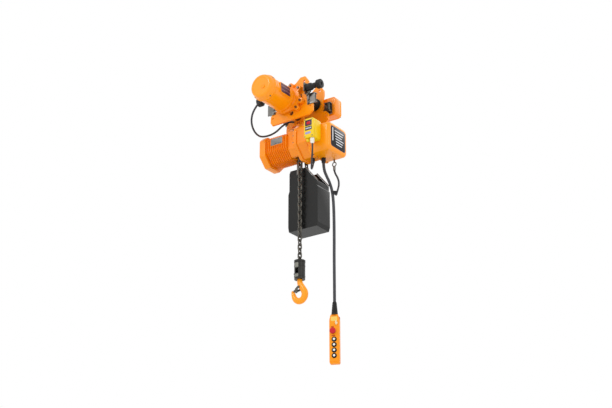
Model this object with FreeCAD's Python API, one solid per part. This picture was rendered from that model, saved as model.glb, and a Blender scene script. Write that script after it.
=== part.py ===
import FreeCAD, Part
import math
import os

# Electric chain hoist under a motor-driven trolley, in millimetres.
# X runs along the beam, Y across it and Z up. The origin is the centre of the beam at the
# level of the wheel treads, which is the top of the beam's lower flange.

# Beam that the trolley runs on
FLANGE_WIDTH = 100

# Trolley
PLATE_INNER = 59
PLATE_THICK = 10
PLATE_OUTER = PLATE_INNER + PLATE_THICK
SHAFT_Z = -53
SHAFT_R = 11
FIT = 0.05
TREAD_R = 24
DRIVE_MODULE = 2.0
WHEEL_TEETH = 38
DRIVE_TEETH = 14
ROTOR_TEETH = 12
SHAFT_TEETH = 40
DRIVE_Z = 12
DRIVE_CENTRES = DRIVE_MODULE * (WHEEL_TEETH + DRIVE_TEETH) / 2
WHEEL_X = math.sqrt(DRIVE_CENTRES ** 2 - (TREAD_R - DRIVE_Z) ** 2)
GUIDE_X = 124
GUIDE_R = 8.5
DRIVE_MOTOR_R = 61
DRIVE_MOTOR_END = -280
MOTOR_OFFSET = -26
MOTOR_Z = 14
INLET_Y = -222
CASING_LOBES = ((52, 58), (63, -10), (8, 80), (40, -40))

# Hoist body
BODY_Y0 = -72
BODY_Y1 = 88
BODY_TOP = -100
BODY_BOTTOM = -282
SHEAVE_Y = 27
AXIS_Z = -200
MOTOR_X0 = -148
MOTOR_X1 = -28
FIN_COUNT = 11
FIN_PITCH = 10.8
FAN_COVER_X0 = -184
GUIDE_HOUSE_X1 = 14
CASE_X1 = 92
COVER_X1 = 208
COVER_TOP = -140
COVER_BOTTOM = -282
FIRST_MODULE = 1.25
FIRST_PINION = 11
FIRST_WHEEL = 73
SECOND_MODULE = 1.75
SECOND_PINION = 10
SECOND_WHEEL = 50
GEAR_CENTRES = FIRST_MODULE * (FIRST_PINION + FIRST_WHEEL) / 2
LAY_ANGLE = 146
GLAND_NUT = 14
GLAND_CAP = 12

# Load chain, hook block and hook
CHAIN_D = 7.1
CHAIN_PITCH = 21
CHAIN_WIDTH = 23.5
CHAIN_PLAY = 0.1
CHAIN_TOP = -196
BLOCK_TOP = -768
BLOCK_BOTTOM = -860
HOOK_Z = -934
LATCH_PIVOT = (2, -897)
HOOK_BOWL_R = 21
HOOK_BAR_R = 11

# Chain container
BUCKET_X0 = -80
BUCKET_X1 = 86
BUCKET_Y0 = 20
BUCKET_Y1 = 121
BUCKET_TOP = -316
BUCKET_BOTTOM = -608
BUCKET_WALL = 4

# Pendant
PENDANT_X = 156
PENDANT_Y = 49
PENDANT_TOP = -1044
PENDANT_BOTTOM = -1270
PENDANT_WIDTH = 46
PENDANT_DEPTH = 34
PENDANT_TURN = 24
BUTTON_PITCH = 25

V = FreeCAD.Vector


def save(name, shape):
    """Write one node to its own file."""
    shape.exportStep("parts/" + name + ".step")


def box(x0, x1, y0, y1, z0, z1):
    return Part.makeBox(x1 - x0, y1 - y0, z1 - z0, V(x0, y0, z0))


def rod(start, end, radius):
    """A cylinder from one point to another."""
    along = V(*end) - V(*start)
    return Part.makeCylinder(radius, along.Length, V(*start), along)


def tube(start, end, outer, inner):
    return rod(start, end, outer).cut(rod(start, end, inner))


def prism(points, normal, start, end):
    """A polygon given in the plane across one axis, extruded along that axis."""
    place = {"X": lambda u, v: V(start, u, v),
             "Y": lambda u, v: V(u, start, v),
             "Z": lambda u, v: V(u, v, start)}[normal]
    along = {"X": V(1, 0, 0), "Y": V(0, 1, 0), "Z": V(0, 0, 1)}[normal] * (end - start)
    corners = [place(u, v) for u, v in points]
    outline = Part.makePolygon(corners + corners[:1])
    return Part.Face(outline).extrude(along)


def round_long(shape, radius, axis):
    """Round the edges that run along one axis."""
    def runs(edge):
        if not isinstance(edge.Curve, Part.Line):
            return False
        return abs(abs(edge.tangentAt(edge.FirstParameter).dot(axis)) - 1) < 1e-6
    return shape.makeFillet(radius, [edge for edge in shape.Edges if runs(edge)])


def octagon(y0, y1, z0, z1, top, low):
    """A rectangle in Y and Z with its upper and lower corners cut off."""
    return [(y0 + low, z0), (y1 - low, z0), (y1, z0 + low), (y1, z1 - top),
            (y1 - top, z1), (y0 + top, z1), (y0, z1 - top), (y0, z0 + low)]


def gear(module, teeth, centre, phase, start, end, axis):
    """A spur gear with straight-sided teeth; phase is the angle of one tooth's middle."""
    pitch_r = module * teeth / 2
    root_r = pitch_r - 1.25 * module
    tip_r = pitch_r + 0.85 * module
    step = 2 * math.pi / teeth
    points = []
    for index in range(teeth):
        middle = math.radians(phase) + index * step
        for radius, offset in ((root_r, -0.30), (tip_r, -0.115), (tip_r, 0.115), (root_r, 0.30)):
            angle = middle + offset * step
            points.append((centre[0] + radius * math.cos(angle), centre[1] + radius * math.sin(angle)))
    return prism(points, axis, start, end)


def mesh_phase(direction, teeth, phase, other_teeth):
    """Tooth angle of a gear that meshes with another one lying at the given direction."""
    step = 360 / teeth
    offset = (phase - direction + step / 2) % step - step / 2
    gap = direction + 180 - offset * teeth / other_teeth
    return gap + 180 / other_teeth


def link(top, flat):
    """One chain link hanging from the height of its upper crown; flat links face along Y."""
    bar = CHAIN_D / 2
    crown = CHAIN_WIDTH / 2 - bar
    side = CHAIN_PITCH + 2 * CHAIN_D + CHAIN_PLAY - CHAIN_WIDTH
    high = top - bar - crown
    low = high - side
    path = [Part.Arc(V(-crown, 0, high), V(0, 0, high + crown), V(crown, 0, high)).toShape(),
            Part.LineSegment(V(crown, 0, high), V(crown, 0, low)).toShape(),
            Part.Arc(V(crown, 0, low), V(0, 0, low - crown), V(-crown, 0, low)).toShape(),
            Part.LineSegment(V(-crown, 0, low), V(-crown, 0, high)).toShape()]
    round_bar = Part.Wire(Part.makeCircle(bar, V(crown, 0, high), V(0, 0, 1)))
    spine = Part.Wire([path[1], path[2], path[3], path[0]])
    solid = spine.makePipeShell([round_bar], True, False)
    if not flat:
        solid.rotate(V(0, 0, 0), V(0, 0, 1), 90)
    return solid


def chain(x, y, top, count, first_flat):
    links = []
    for index in range(count):
        piece = link(top - index * CHAIN_PITCH, (index % 2 == 0) == first_flat)
        piece.translate(V(x, y, 0))
        links.append(piece)
    return Part.Compound(links)


def cord(name, points, diameter):
    """A round cord: straight runs joined by tangent arcs as large as the runs allow."""
    spots = [V(*point) for point in points]
    edges = []
    radii = []
    last = spots[0]
    for before, here, after in zip(spots, spots[1:], spots[2:]):
        arrive = here - before
        leave = after - here
        turn = arrive.getAngle(leave)
        cut = 0.45 * min(arrive.Length, leave.Length)
        radius = cut / math.tan(turn / 2)
        radii.append(round(radius))
        arrive.normalize()
        leave.normalize()
        enter = here - arrive * cut
        out = here + leave * cut
        inward = leave - arrive
        inward.normalize()
        centre = here + inward * (radius / math.cos(turn / 2))
        toward = here - centre
        toward.normalize()
        edges.append(Part.LineSegment(last, enter).toShape())
        edges.append(Part.Arc(enter, centre + toward * radius, out).toShape())
        last = out
    edges.append(Part.LineSegment(last, spots[-1]).toShape())
    spine = Part.Wire(edges)
    section = Part.Wire(Part.makeCircle(diameter / 2, spots[0], spots[1] - spots[0]))
    solid = spine.makePipeShell([section], True, False)
    filled = solid.Volume / (math.pi * diameter ** 2 / 4 * spine.Length)
    print(name, "length", round(spine.Length), "tightest", min(radii), "volume ratio", round(filled, 4))
    save(name, solid)


def bolt(base, outward, radius, height):
    """Washer and hexagon head of a bolt that stands on a face; its shank is left out."""
    outward = V(*outward)
    washer = Part.makeCylinder(radius, height * 0.25, V(*base), outward)
    corners = [V(radius * 0.95 * math.cos(k * math.pi / 3), radius * 0.95 * math.sin(k * math.pi / 3), 0)
               for k in range(7)]
    head = Part.Face(Part.makePolygon(corners)).extrude(V(0, 0, height * 0.75))
    head.Placement = FreeCAD.Placement(V(*base) + outward * (height * 0.25),
                                       FreeCAD.Rotation(V(0, 0, 1), outward))
    return washer.fuse(head)


def side_plate(sign):
    """Trolley side plate: a long lower bar, a neck over the wheels and a lug at the top."""
    outline = [(-112, -88), (98, -84), (121, -68), (121, -34), (108, -19), (90, -19), (84, 20),
               (96, 64), (96, 92), (78, 120), (50, 120), (26, 98), (0, 86), (-60, 80), (-78, 60),
               (-86, -19), (-104, -24), (-120, -42), (-122, -72)]
    low = min(sign * PLATE_INNER, sign * PLATE_OUTER)
    plate = prism(outline, "Y", low, low + PLATE_THICK)
    plate = plate.cut(rod((0, low - 1, SHAFT_Z), (0, low + PLATE_THICK + 1, SHAFT_Z), SHAFT_R + FIT))
    for x in (-WHEEL_X, WHEEL_X):
        plate = plate.cut(rod((x, low - 1, TREAD_R), (x, low + PLATE_THICK + 1, TREAD_R), 10 + FIT))
    for x, z in ((-108, -52), (108, -44)):
        plate = plate.cut(rod((x, low - 1, z), (x, low + PLATE_THICK + 1, z), 4))
    if sign < 0:
        plate = plate.cut(rod((0, low - 1, DRIVE_Z), (0, low + PLATE_THICK + 1, DRIVE_Z), 17))
    tow_hole = rod((72, low - 1, 96), (72, low + PLATE_THICK + 1, 96), 6)
    return plate.cut(tow_hole)


def trolley_frame():
    save("near_side_plate", side_plate(-1))
    save("far_side_plate", side_plate(1))
    shaft = rod((0, -63, SHAFT_Z), (0, 63, SHAFT_Z), SHAFT_R)
    save("suspension_shaft", shaft)
    spacers = [tube((0, y0, SHAFT_Z), (0, y1, SHAFT_Z), 17, SHAFT_R + FIT)
               for y0, y1 in ((-PLATE_INNER, -14.2), (14.2, PLATE_INNER))]
    save("shaft_spacers", Part.Compound(spacers))


def wheel(name, x, side, geared, phase):
    """Flanged wheel: tread on the beam, flange outside it, gear teeth on the driven ones."""
    tread = rod((x, side * 24, TREAD_R), (x, side * 51, TREAD_R), TREAD_R)
    rim = rod((x, side * 51, TREAD_R), (x, side * 53, TREAD_R), TREAD_R + 7)
    body = tread.fuse(rim)
    if geared:
        start = min(side * 53, side * 58)
        body = body.fuse(gear(DRIVE_MODULE, WHEEL_TEETH, (x, TREAD_R), phase, start, start + 5, "Y"))
    else:
        body = body.fuse(rod((x, side * 53, TREAD_R), (x, side * 58, TREAD_R), 16))
    save(name, body.cut(rod((x, side * 20, TREAD_R), (x, side * 60, TREAD_R), 10 + FIT)))


def wheels():
    drop = math.degrees(math.atan2(TREAD_R - DRIVE_Z, WHEEL_X))
    right = mesh_phase(drop, DRIVE_TEETH, 0, WHEEL_TEETH)
    left = mesh_phase(180 - drop, DRIVE_TEETH, 0, WHEEL_TEETH)
    wheel("wheel_near_left", -WHEEL_X, -1, True, left)
    wheel("wheel_near_right", WHEEL_X, -1, True, right)
    wheel("wheel_far_left", -WHEEL_X, 1, False, 0)
    wheel("wheel_far_right", WHEEL_X, 1, False, 0)
    axles = []
    for x in (-WHEEL_X, WHEEL_X):
        for side in (-1, 1):
            pin = rod((x, side * 20.5, TREAD_R), (x, side * (PLATE_OUTER + 1), TREAD_R), 10)
            collar = rod((x, side * 20.5, TREAD_R), (x, side * 23.8, TREAD_R), 13)
            axles.append(pin.fuse(collar))
    save("wheel_axles", Part.Compound(axles))


def guide_rollers():
    """Four upright rollers that run on the edges of the beam's flange, each in a bent bracket."""
    brackets = []
    places = {"near_left": (-1, -1), "near_right": (1, -1), "far_left": (-1, 1), "far_right": (1, 1)}
    web_out = PLATE_OUTER + 4.2
    for name, (end, side) in places.items():
        x = end * GUIDE_X
        y = side * (FLANGE_WIDTH / 2 + GUIDE_R + 0.7)
        roller = rod((x, y, -20), (x, y, 13), GUIDE_R).cut(rod((x, y, -21), (x, y, 14), 4 + FIT))
        save("guide_roller_" + name, roller)
        web_y = sorted((side * (PLATE_OUTER + 0.2), side * web_out))
        arm_y = sorted((side * 52, side * web_out))
        web_x = sorted((end * 92, end * (GUIDE_X + 11)))
        arm_x = sorted((end * 102, end * (GUIDE_X + 11)))
        shelf_x = sorted((end * 123, end * (GUIDE_X + 11)))
        web = box(web_x[0], web_x[1], web_y[0], web_y[1], -34, 20)
        top = box(arm_x[0], arm_x[1], arm_y[0], arm_y[1], 16, 20)
        shelf = box(shelf_x[0], shelf_x[1], arm_y[0], arm_y[1], -26, -22)
        pin = rod((x, y, -26), (x, y, 23), 4)
        heads = [bolt((end * 100, side * web_out, z), (0, side, 0), 6, 5) for z in (-26, -9)]
        brackets.append(web.fuse([top, shelf, pin] + heads))
    save("roller_brackets", Part.Compound(brackets))


def bumpers():
    """Stepped rubber buffers on bolted brackets at both ends of the near plate."""
    rubbers = []
    holders = []
    y = -PLATE_OUTER - 16
    z = 46
    for end in (-1, 1):
        start = end * 98
        steps = ((0, 30, 18), (30, 62, 14), (62, 84, 22))
        spool = None
        for near, far, radius in steps:
            piece = rod((start + end * near, y, z), (start + end * far, y, z), radius)
            spool = piece if spool is None else spool.fuse(piece)
        rubbers.append(spool)
        flange = sorted((start - end * 6, start))
        foot = sorted((end * 78, start))
        holder = box(flange[0], flange[1], -PLATE_OUTER - 36, -PLATE_OUTER - 0.2, z - 22, z + 22)
        holder = holder.fuse(box(foot[0], foot[1], -PLATE_OUTER - 6, -PLATE_OUTER - 0.2, z - 22, z + 22))
        rib_points = [(start, z - 22), (start + end * 26, z - 22), (start, z - 44)]
        rib = prism(rib_points, "Y", y - 3, y + 3)
        holder = holder.fuse(rib)
        heads = [bolt((end * 86, -PLATE_OUTER - 6, z + up), (0, -1, 0), 6, 5) for up in (-14, 14)]
        holders.append(holder.fuse(heads))
    save("bumpers", Part.Compound(rubbers))
    save("bumper_brackets", Part.Compound(holders))


def drive_unit():
    """Gear casing, motor shell and cap of the travel drive, with the rotor that turns the wheels."""
    y0 = -PLATE_OUTER
    lobes = [rod((x, y0 - 22, z), (x, y0 - 0.2, z), r)
             for x, z, r in [(0, DRIVE_Z, 58)] + [(x, z, 14) for x, z in CASING_LOBES]]
    casing = lobes[0].fuse(lobes[1:])
    neck = rod((MOTOR_OFFSET, y0 - 34, MOTOR_Z), (MOTOR_OFFSET, y0 - 12, MOTOR_Z), DRIVE_MOTOR_R - 1)
    casing = casing.fuse(neck)
    casing = casing.cut(rod((0, y0 - 20, DRIVE_Z), (0, y0 + 1, DRIVE_Z), 46))
    casing = casing.cut(rod((MOTOR_OFFSET, y0 - 35, MOTOR_Z), (MOTOR_OFFSET, y0 - 12, MOTOR_Z), 16))
    for x in (-WHEEL_X, WHEEL_X):
        casing = casing.cut(rod((x, y0 - 4, TREAD_R), (x, y0, TREAD_R), 12))
    save("drive_gear_casing", casing)
    shell_start = y0 - 34.2
    shell_end = DRIVE_MOTOR_END + 40
    shell = rod((MOTOR_OFFSET, shell_start, MOTOR_Z), (MOTOR_OFFSET, shell_end, MOTOR_Z), DRIVE_MOTOR_R)
    right = MOTOR_OFFSET + DRIVE_MOTOR_R
    pad = box(right - 12, right + 4, -192, -130, MOTOR_Z - 24, MOTOR_Z + 24)
    inlet_ends = [(MOTOR_OFFSET - reach * math.sqrt(0.5), INLET_Y, MOTOR_Z - reach * math.sqrt(0.5))
                  for reach in (DRIVE_MOTOR_R - 5, DRIVE_MOTOR_R + 10)]
    inlet = rod(inlet_ends[0], inlet_ends[1], 9)
    shell = shell.fuse(pad).fuse(inlet)
    hollow = rod((MOTOR_OFFSET, shell_start - 3, MOTOR_Z), (MOTOR_OFFSET, shell_end - 1, MOTOR_Z), 54)
    journal = rod((MOTOR_OFFSET, shell_start + 1, MOTOR_Z), (MOTOR_OFFSET, shell_start - 4, MOTOR_Z), 16)
    save("drive_motor_shell", shell.cut(hollow).cut(journal))
    cap = rod((MOTOR_OFFSET, shell_end - 0.2, MOTOR_Z), (MOTOR_OFFSET, shell_end - 12, MOTOR_Z),
              DRIVE_MOTOR_R + 4)
    dome = Part.makeCone(DRIVE_MOTOR_R, DRIVE_MOTOR_R - 6, 28, V(MOTOR_OFFSET, shell_end - 12, MOTOR_Z),
                         V(0, -1, 0))
    boss_x = MOTOR_OFFSET + 14
    boss = rod((boss_x, DRIVE_MOTOR_END - 4, MOTOR_Z - 8), (boss_x, DRIVE_MOTOR_END, MOTOR_Z - 8), 9)
    cap = cap.fuse(dome).fuse(boss)
    cap = cap.cut(rod((MOTOR_OFFSET, shell_end, MOTOR_Z), (MOTOR_OFFSET, shell_end - 30, MOTOR_Z), 54))
    save("drive_motor_cap", cap)
    motor_gears(y0)


def motor_gears(y0):
    """Rotor with its small gear, and the pinion shaft that it turns and that turns the wheels."""
    reach = math.hypot(MOTOR_OFFSET, MOTOR_Z - DRIVE_Z)
    direction = math.degrees(math.atan2(DRIVE_Z - MOTOR_Z, -MOTOR_OFFSET))
    module = 2 * reach / (ROTOR_TEETH + SHAFT_TEETH)
    small = gear(module, ROTOR_TEETH, (MOTOR_OFFSET, MOTOR_Z), direction, y0 - 17, y0 - 7, "Y")
    rotor = small.fuse(rod((MOTOR_OFFSET, y0 - 7, MOTOR_Z), (MOTOR_OFFSET, -250, MOTOR_Z), 5))
    rotor = rotor.fuse(rod((MOTOR_OFFSET, -120, MOTOR_Z), (MOTOR_OFFSET, -236, MOTOR_Z), 40))
    save("drive_rotor", rotor)
    pinion = gear(DRIVE_MODULE, DRIVE_TEETH, (0, DRIVE_Z), 0, -58, -53, "Y")
    phase = mesh_phase(direction, ROTOR_TEETH, direction, SHAFT_TEETH)
    large = gear(module, SHAFT_TEETH, (0, DRIVE_Z), phase, y0 - 16, y0 - 8, "Y")
    pinion = pinion.fuse(rod((0, -58, DRIVE_Z), (0, y0 - 19, DRIVE_Z), 8))
    save("drive_pinion", pinion.fuse(large))


def trolley_bolts(y0):
    """Bolts in the lobes of the travel drive's gear casing."""
    return [bolt((x, y0 - 22, z), (0, -1, 0), 6, 6) for x, z in CASING_LOBES]


def trolley_control_box():
    """Control box on the far side plate, with its lid facing away from the beam."""
    case = round_long(box(48, 148, 80, 122, -40, 56), 14, V(0, 1, 0))
    case = case.cut(box(54, 142, 84, 123, -34, 50))
    foot = box(64, 84, PLATE_OUTER + 0.2, 80, -10, 40)
    save("travel_control_box", case.fuse(foot))
    lid = round_long(box(48, 148, 122.2, 134, -40, 56), 14, V(0, 1, 0))
    panel = round_long(box(62, 132, 134, 139, -26, 42), 10, V(0, 1, 0))
    save("travel_control_lid", lid.fuse(panel))


def suspension_lug():
    """Forged lug that hangs the gear case from the trolley's shaft."""
    foot_z = BODY_TOP + 0.2
    outline = [(-40, foot_z), (62, foot_z), (56, foot_z + 5), (30, -86), (19, -44), (10, -35), (-10, -35),
               (-19, -44), (-24, -86), (-36, foot_z + 5)]
    plate = prism(outline, "Y", -14, 14)
    plate = plate.cut(rod((0, -20, SHAFT_Z), (0, 20, SHAFT_Z), SHAFT_R + FIT))
    window = box(-9, 9, -20, 20, -88, -76)
    foot = box(-28, 62, -30, 30, foot_z, foot_z + 5)
    return plate.cut(window).fuse(foot)


def hoist_casings():
    """Gear case, sheave housing, finned motor housing, fan cover and control cover."""
    save("suspension_lug", suspension_lug())
    case = prism(octagon(BODY_Y0 - 8, BODY_Y1, BODY_BOTTOM, BODY_TOP, 44, 58), "X", GUIDE_HOUSE_X1, CASE_X1)
    inner = prism(octagon(BODY_Y0 - 2, BODY_Y1 - 6, BODY_BOTTOM + 6, BODY_TOP - 6, 42, 56), "X",
                  GUIDE_HOUSE_X1 + 5, CASE_X1 + 1)
    case = case.cut(inner)
    case = case.cut(rod((0, SHEAVE_Y, AXIS_Z), (40, SHEAVE_Y, AXIS_Z), 15 + FIT))
    belt = prism(octagon(BODY_Y0 - 14, BODY_Y1 + 5, BODY_BOTTOM - 5, BODY_TOP - 8, 46, 60), "X", 22, 38)
    belt = belt.cut(prism(octagon(BODY_Y0 - 7.9, BODY_Y1 - 0.1, BODY_BOTTOM + 0.1, BODY_TOP - 0.1, 44, 58),
                          "X", 20, 40))
    case = case.fuse(belt)
    save("gear_case", case)
    lid = prism(octagon(BODY_Y0 - 8, BODY_Y1, BODY_BOTTOM, BODY_TOP, 44, 58), "X", CASE_X1 + 0.2, CASE_X1 + 6)
    save("gear_case_cover", lid)
    save("sheave_housing", sheave_housing())
    save("motor_housing", motor_housing())
    save("fan_cover", fan_cover())
    save("control_cover", control_cover())


def sheave_housing():
    """Housing round the load sheave, open below where the two chain falls run out."""
    walls = prism(octagon(BODY_Y0 + 14, BODY_Y1 - 2, -258, BODY_TOP - 10, 30, 30), "X",
                  MOTOR_X1 + 0.2, GUIDE_HOUSE_X1 - 0.2)
    walls = walls.cut(box(-21, 13.9, -16, 70, -260, -122))
    walls = walls.cut(rod((-30, SHEAVE_Y, AXIS_Z), (20, SHEAVE_Y, AXIS_Z), 16))
    return walls


def motor_housing():
    """Ribbed motor housing: a thin-walled core with upright cooling fins round it."""
    bore = rod((MOTOR_X0 - 1, SHEAVE_Y, AXIS_Z), (MOTOR_X1 - 6, SHEAVE_Y, AXIS_Z), 51)
    core = prism(octagon(BODY_Y0 + 9, BODY_Y1 - 4, -259, -143, 20, 42), "X", MOTOR_X0, MOTOR_X1)
    for index in range(FIN_COUNT):
        x = MOTOR_X0 + 6 + index * FIN_PITCH
        fin = prism(octagon(BODY_Y0, BODY_Y1 - 1, -268, -137, 24, 48), "X", x, x + 3.4)
        core = core.fuse(fin)
    pad = box(-118, -48, BODY_Y0 - 1, BODY_Y0 + 20, -195, -158)
    core = core.fuse(pad).cut(bore)
    return core.cut(rod((-60, SHEAVE_Y, AXIS_Z), (0, SHEAVE_Y, AXIS_Z), 12))


def fan_cover():
    outer = octagon(BODY_Y0 - 3, BODY_Y1 + 2, -280, -132, 22, 46)
    inner = octagon(BODY_Y0 + 3, BODY_Y1 - 4, -274, -138, 20, 44)
    shell = prism(outer, "X", FAN_COVER_X0, MOTOR_X0 - 0.2)
    return shell.cut(prism(inner, "X", FAN_COVER_X0 + 6, MOTOR_X0 + 1))


def control_cover():
    """Rounded sheet-metal cover over the contactors, with a flange where it meets the gear case."""
    shell = round_long(box(CASE_X1 + 14, COVER_X1, BODY_Y0 + 4, BODY_Y1, COVER_BOTTOM, COVER_TOP), 24,
                       V(1, 0, 0))
    rim = [edge for edge in shell.Edges
           if edge.BoundBox.XLength < 0.01 and edge.CenterOfMass.x > COVER_X1 - 1]
    shell = shell.makeFillet(12, rim)
    flange = box(CASE_X1 + 6.2, CASE_X1 + 14, BODY_Y0, BODY_Y1 + 4, COVER_BOTTOM - 4, COVER_TOP + 4)
    flange = round_long(flange, 26, V(1, 0, 0))
    hollow = box(CASE_X1 + 5, COVER_X1 - 5, BODY_Y0 + 9, BODY_Y1 - 5, COVER_BOTTOM + 5, COVER_TOP - 5)
    hollow = round_long(hollow, 20, V(1, 0, 0))
    return shell.fuse(flange).cut(hollow)


def hoist_machinery():
    """Stator, rotor, brake disc, two-stage gear train, load sheave and contactor panel."""
    stator = tube((-130, SHEAVE_Y, AXIS_Z), (-44, SHEAVE_Y, AXIS_Z), 50.8, 36)
    save("motor_stator", stator)
    lay = math.radians(LAY_ANGLE)
    lay_y = SHEAVE_Y + GEAR_CENTRES * math.cos(lay)
    lay_z = AXIS_Z + GEAR_CENTRES * math.sin(lay)
    rotor = rod((-172, SHEAVE_Y, AXIS_Z), (84, SHEAVE_Y, AXIS_Z), 5)
    rotor = rotor.fuse(rod((-130, SHEAVE_Y, AXIS_Z), (-44, SHEAVE_Y, AXIS_Z), 35))
    pinion = gear(FIRST_MODULE, FIRST_PINION, (SHEAVE_Y, AXIS_Z), LAY_ANGLE, 64, 76, "X")
    save("motor_rotor", rotor.fuse(pinion))
    disc = tube((-154, SHEAVE_Y, AXIS_Z), (-149, SHEAVE_Y, AXIS_Z), 40, 5)
    fan = tube((-172, SHEAVE_Y, AXIS_Z), (-160, SHEAVE_Y, AXIS_Z), 12, 5)
    for k in range(8):
        blade = box(-172, -160, SHEAVE_Y - 1.5, SHEAVE_Y + 1.5, AXIS_Z + 11, AXIS_Z + 52)
        blade.rotate(V(0, SHEAVE_Y, AXIS_Z), V(1, 0, 0), k * 45)
        fan = fan.fuse(blade)
    save("brake_and_fan", Part.Compound([disc, fan]))
    first = gear(FIRST_MODULE, FIRST_WHEEL, (lay_y, lay_z), LAY_ANGLE + 180 + 180 / FIRST_WHEEL, 65, 75, "X")
    second = gear(SECOND_MODULE, SECOND_PINION, (lay_y, lay_z), LAY_ANGLE + 180, 34, 50, "X")
    shaft = rod((22, lay_y, lay_z), (86, lay_y, lay_z), 5)
    save("intermediate_gear", first.fuse(second).fuse(shaft))
    load = gear(SECOND_MODULE, SECOND_WHEEL, (SHEAVE_Y, AXIS_Z), LAY_ANGLE + 180 / SECOND_WHEEL, 36, 48, "X")
    sheave = load.fuse(rod((-18, SHEAVE_Y, AXIS_Z), (48, SHEAVE_Y, AXIS_Z), 9))
    for start, end in ((-17, -4.6), (4.6, 12)):
        sheave = sheave.fuse(rod((start, SHEAVE_Y, AXIS_Z), (end, SHEAVE_Y, AXIS_Z), 22.5))
    sheave = sheave.fuse(rod((14, SHEAVE_Y, AXIS_Z), (24, SHEAVE_Y, AXIS_Z), 15))
    save("load_sheave", sheave.cut(rod((-30, SHEAVE_Y, AXIS_Z), (60, SHEAVE_Y, AXIS_Z), 5 + FIT)))
    panel = box(112, 116, -50, 66, -262, -156)
    for y in (-34, 6, 38):
        panel = panel.fuse(box(116, 158, y - 14, y + 14, -232, -168))
    save("contactor_panel", panel)


def case_screws():
    """Hexagon bolts round the gear case's belt and screws along the control cover's flange."""
    screws = [bolt((22, y, z), (-1, 0, 0), 2.9, 4)
              for y, z in ((-83, -150), (-83, -180), (-83, -214), (91.1, -180), (91.1, -210))]
    screws += [bolt((CASE_X1 + 14, y, COVER_BOTTOM - 2), (1, 0, 0), 1.9, 3) for y in (-44, -12, 48, 70)]
    return screws


def gland(foot, radius, outward=(0, 0, -1)):
    """Screwed cable gland: a nut against the casing and a smaller cap beyond it."""
    foot = V(*foot)
    middle = foot + V(*outward) * GLAND_NUT
    end = middle + V(*outward) * GLAND_CAP
    return rod(foot, middle, radius).fuse(rod(middle, end, radius * 0.78))


def load_limiter():
    """Overload unit in a flat box on the control cover's side, with its knob and cable gland."""
    case = round_long(box(114, 166, -131, BODY_Y0 + 3.8, -236, -140), 5, V(0, 1, 0))
    case = case.cut(box(118, 162, -127, -72, -232, -144))
    save("limiter_box", case)
    knob = rod((126, -116, -236.2), (126, -116, -249), 7)
    glands = [gland((148, -112, -236.2), 11),
              gland((120, 20, COVER_BOTTOM - 0.2), 12),
              gland((80, -6, BODY_BOTTOM - 0.2), 9),
              gland((-46, PLATE_INNER - 0.2, -50), 8, (0, -1, 0))]
    save("cable_glands", Part.Compound(glands + [knob]))


def chain_container():
    """Moulded chain bucket with a cut-away mouth, its wire hanger and the slack chain."""
    x0, x1, y0, y1 = BUCKET_X0, BUCKET_X1, BUCKET_Y0, BUCKET_Y1
    step = BUCKET_TOP - 96
    profile = [(x0 + 4, BUCKET_BOTTOM), (x1 - 6, BUCKET_BOTTOM), (x1, BUCKET_BOTTOM + 20), (x1, step),
               (x1 - 5, step + 8), (x1 - 5, BUCKET_TOP - 66), (x0 + 94, BUCKET_TOP + 14),
               (x0 + 12, BUCKET_TOP + 14), (x0 + 6, BUCKET_TOP), (x0 + 6, step + 8), (x0, step - 8),
               (x0, BUCKET_BOTTOM + 24)]
    outer = prism(profile, "Y", y0, y1)
    w = BUCKET_WALL
    inside = box(x0 + 6 + w, x1 - 5 - w, y0 + w, y1 - w, BUCKET_BOTTOM + w + 18, BUCKET_TOP + 30)
    lower = box(x0 + w, x1 - w, y0 + w, y1 - w, BUCKET_BOTTOM + w + 22, step - 12)
    rib = box(x0 + 62, x0 + 76, y0 - 5, y0 + 1, BUCKET_BOTTOM + 20, step - 8)
    rod_x = MOTOR_X1 + 3.5
    rod_z = BUCKET_TOP - 12
    bucket = outer.cut(inside).cut(lower).fuse(rib)
    save("chain_container", bucket.cut(rod((rod_x, y0 - 5, rod_z), (rod_x, y1 + 5, rod_z), 3.1)))
    hanger = rod((rod_x, y0 - 7, rod_z), (rod_x, y1 + 3, rod_z), 3)
    for y in (y0 - 6, y0 + 30):
        hanger = hanger.fuse(box(rod_x - 3, rod_x + 3, y, y + 4, rod_z - 6, -258.2))
    edge_run = [(x0 + 96, BUCKET_TOP + 17.2), (x1 - 3, BUCKET_TOP - 62.6)]
    (start_x, start_z), (end_x, end_z) = edge_run
    rims = [rod((start_x, y, start_z), (end_x, y, end_z), 2.5) for y in (y0 + 2.5, y1 - 2.5)]
    save("container_hanger", Part.Compound([hanger] + rims))
    save("slack_chain", chain(0, SHEAVE_Y * 2, CHAIN_TOP - 4, 17, True))


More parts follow.
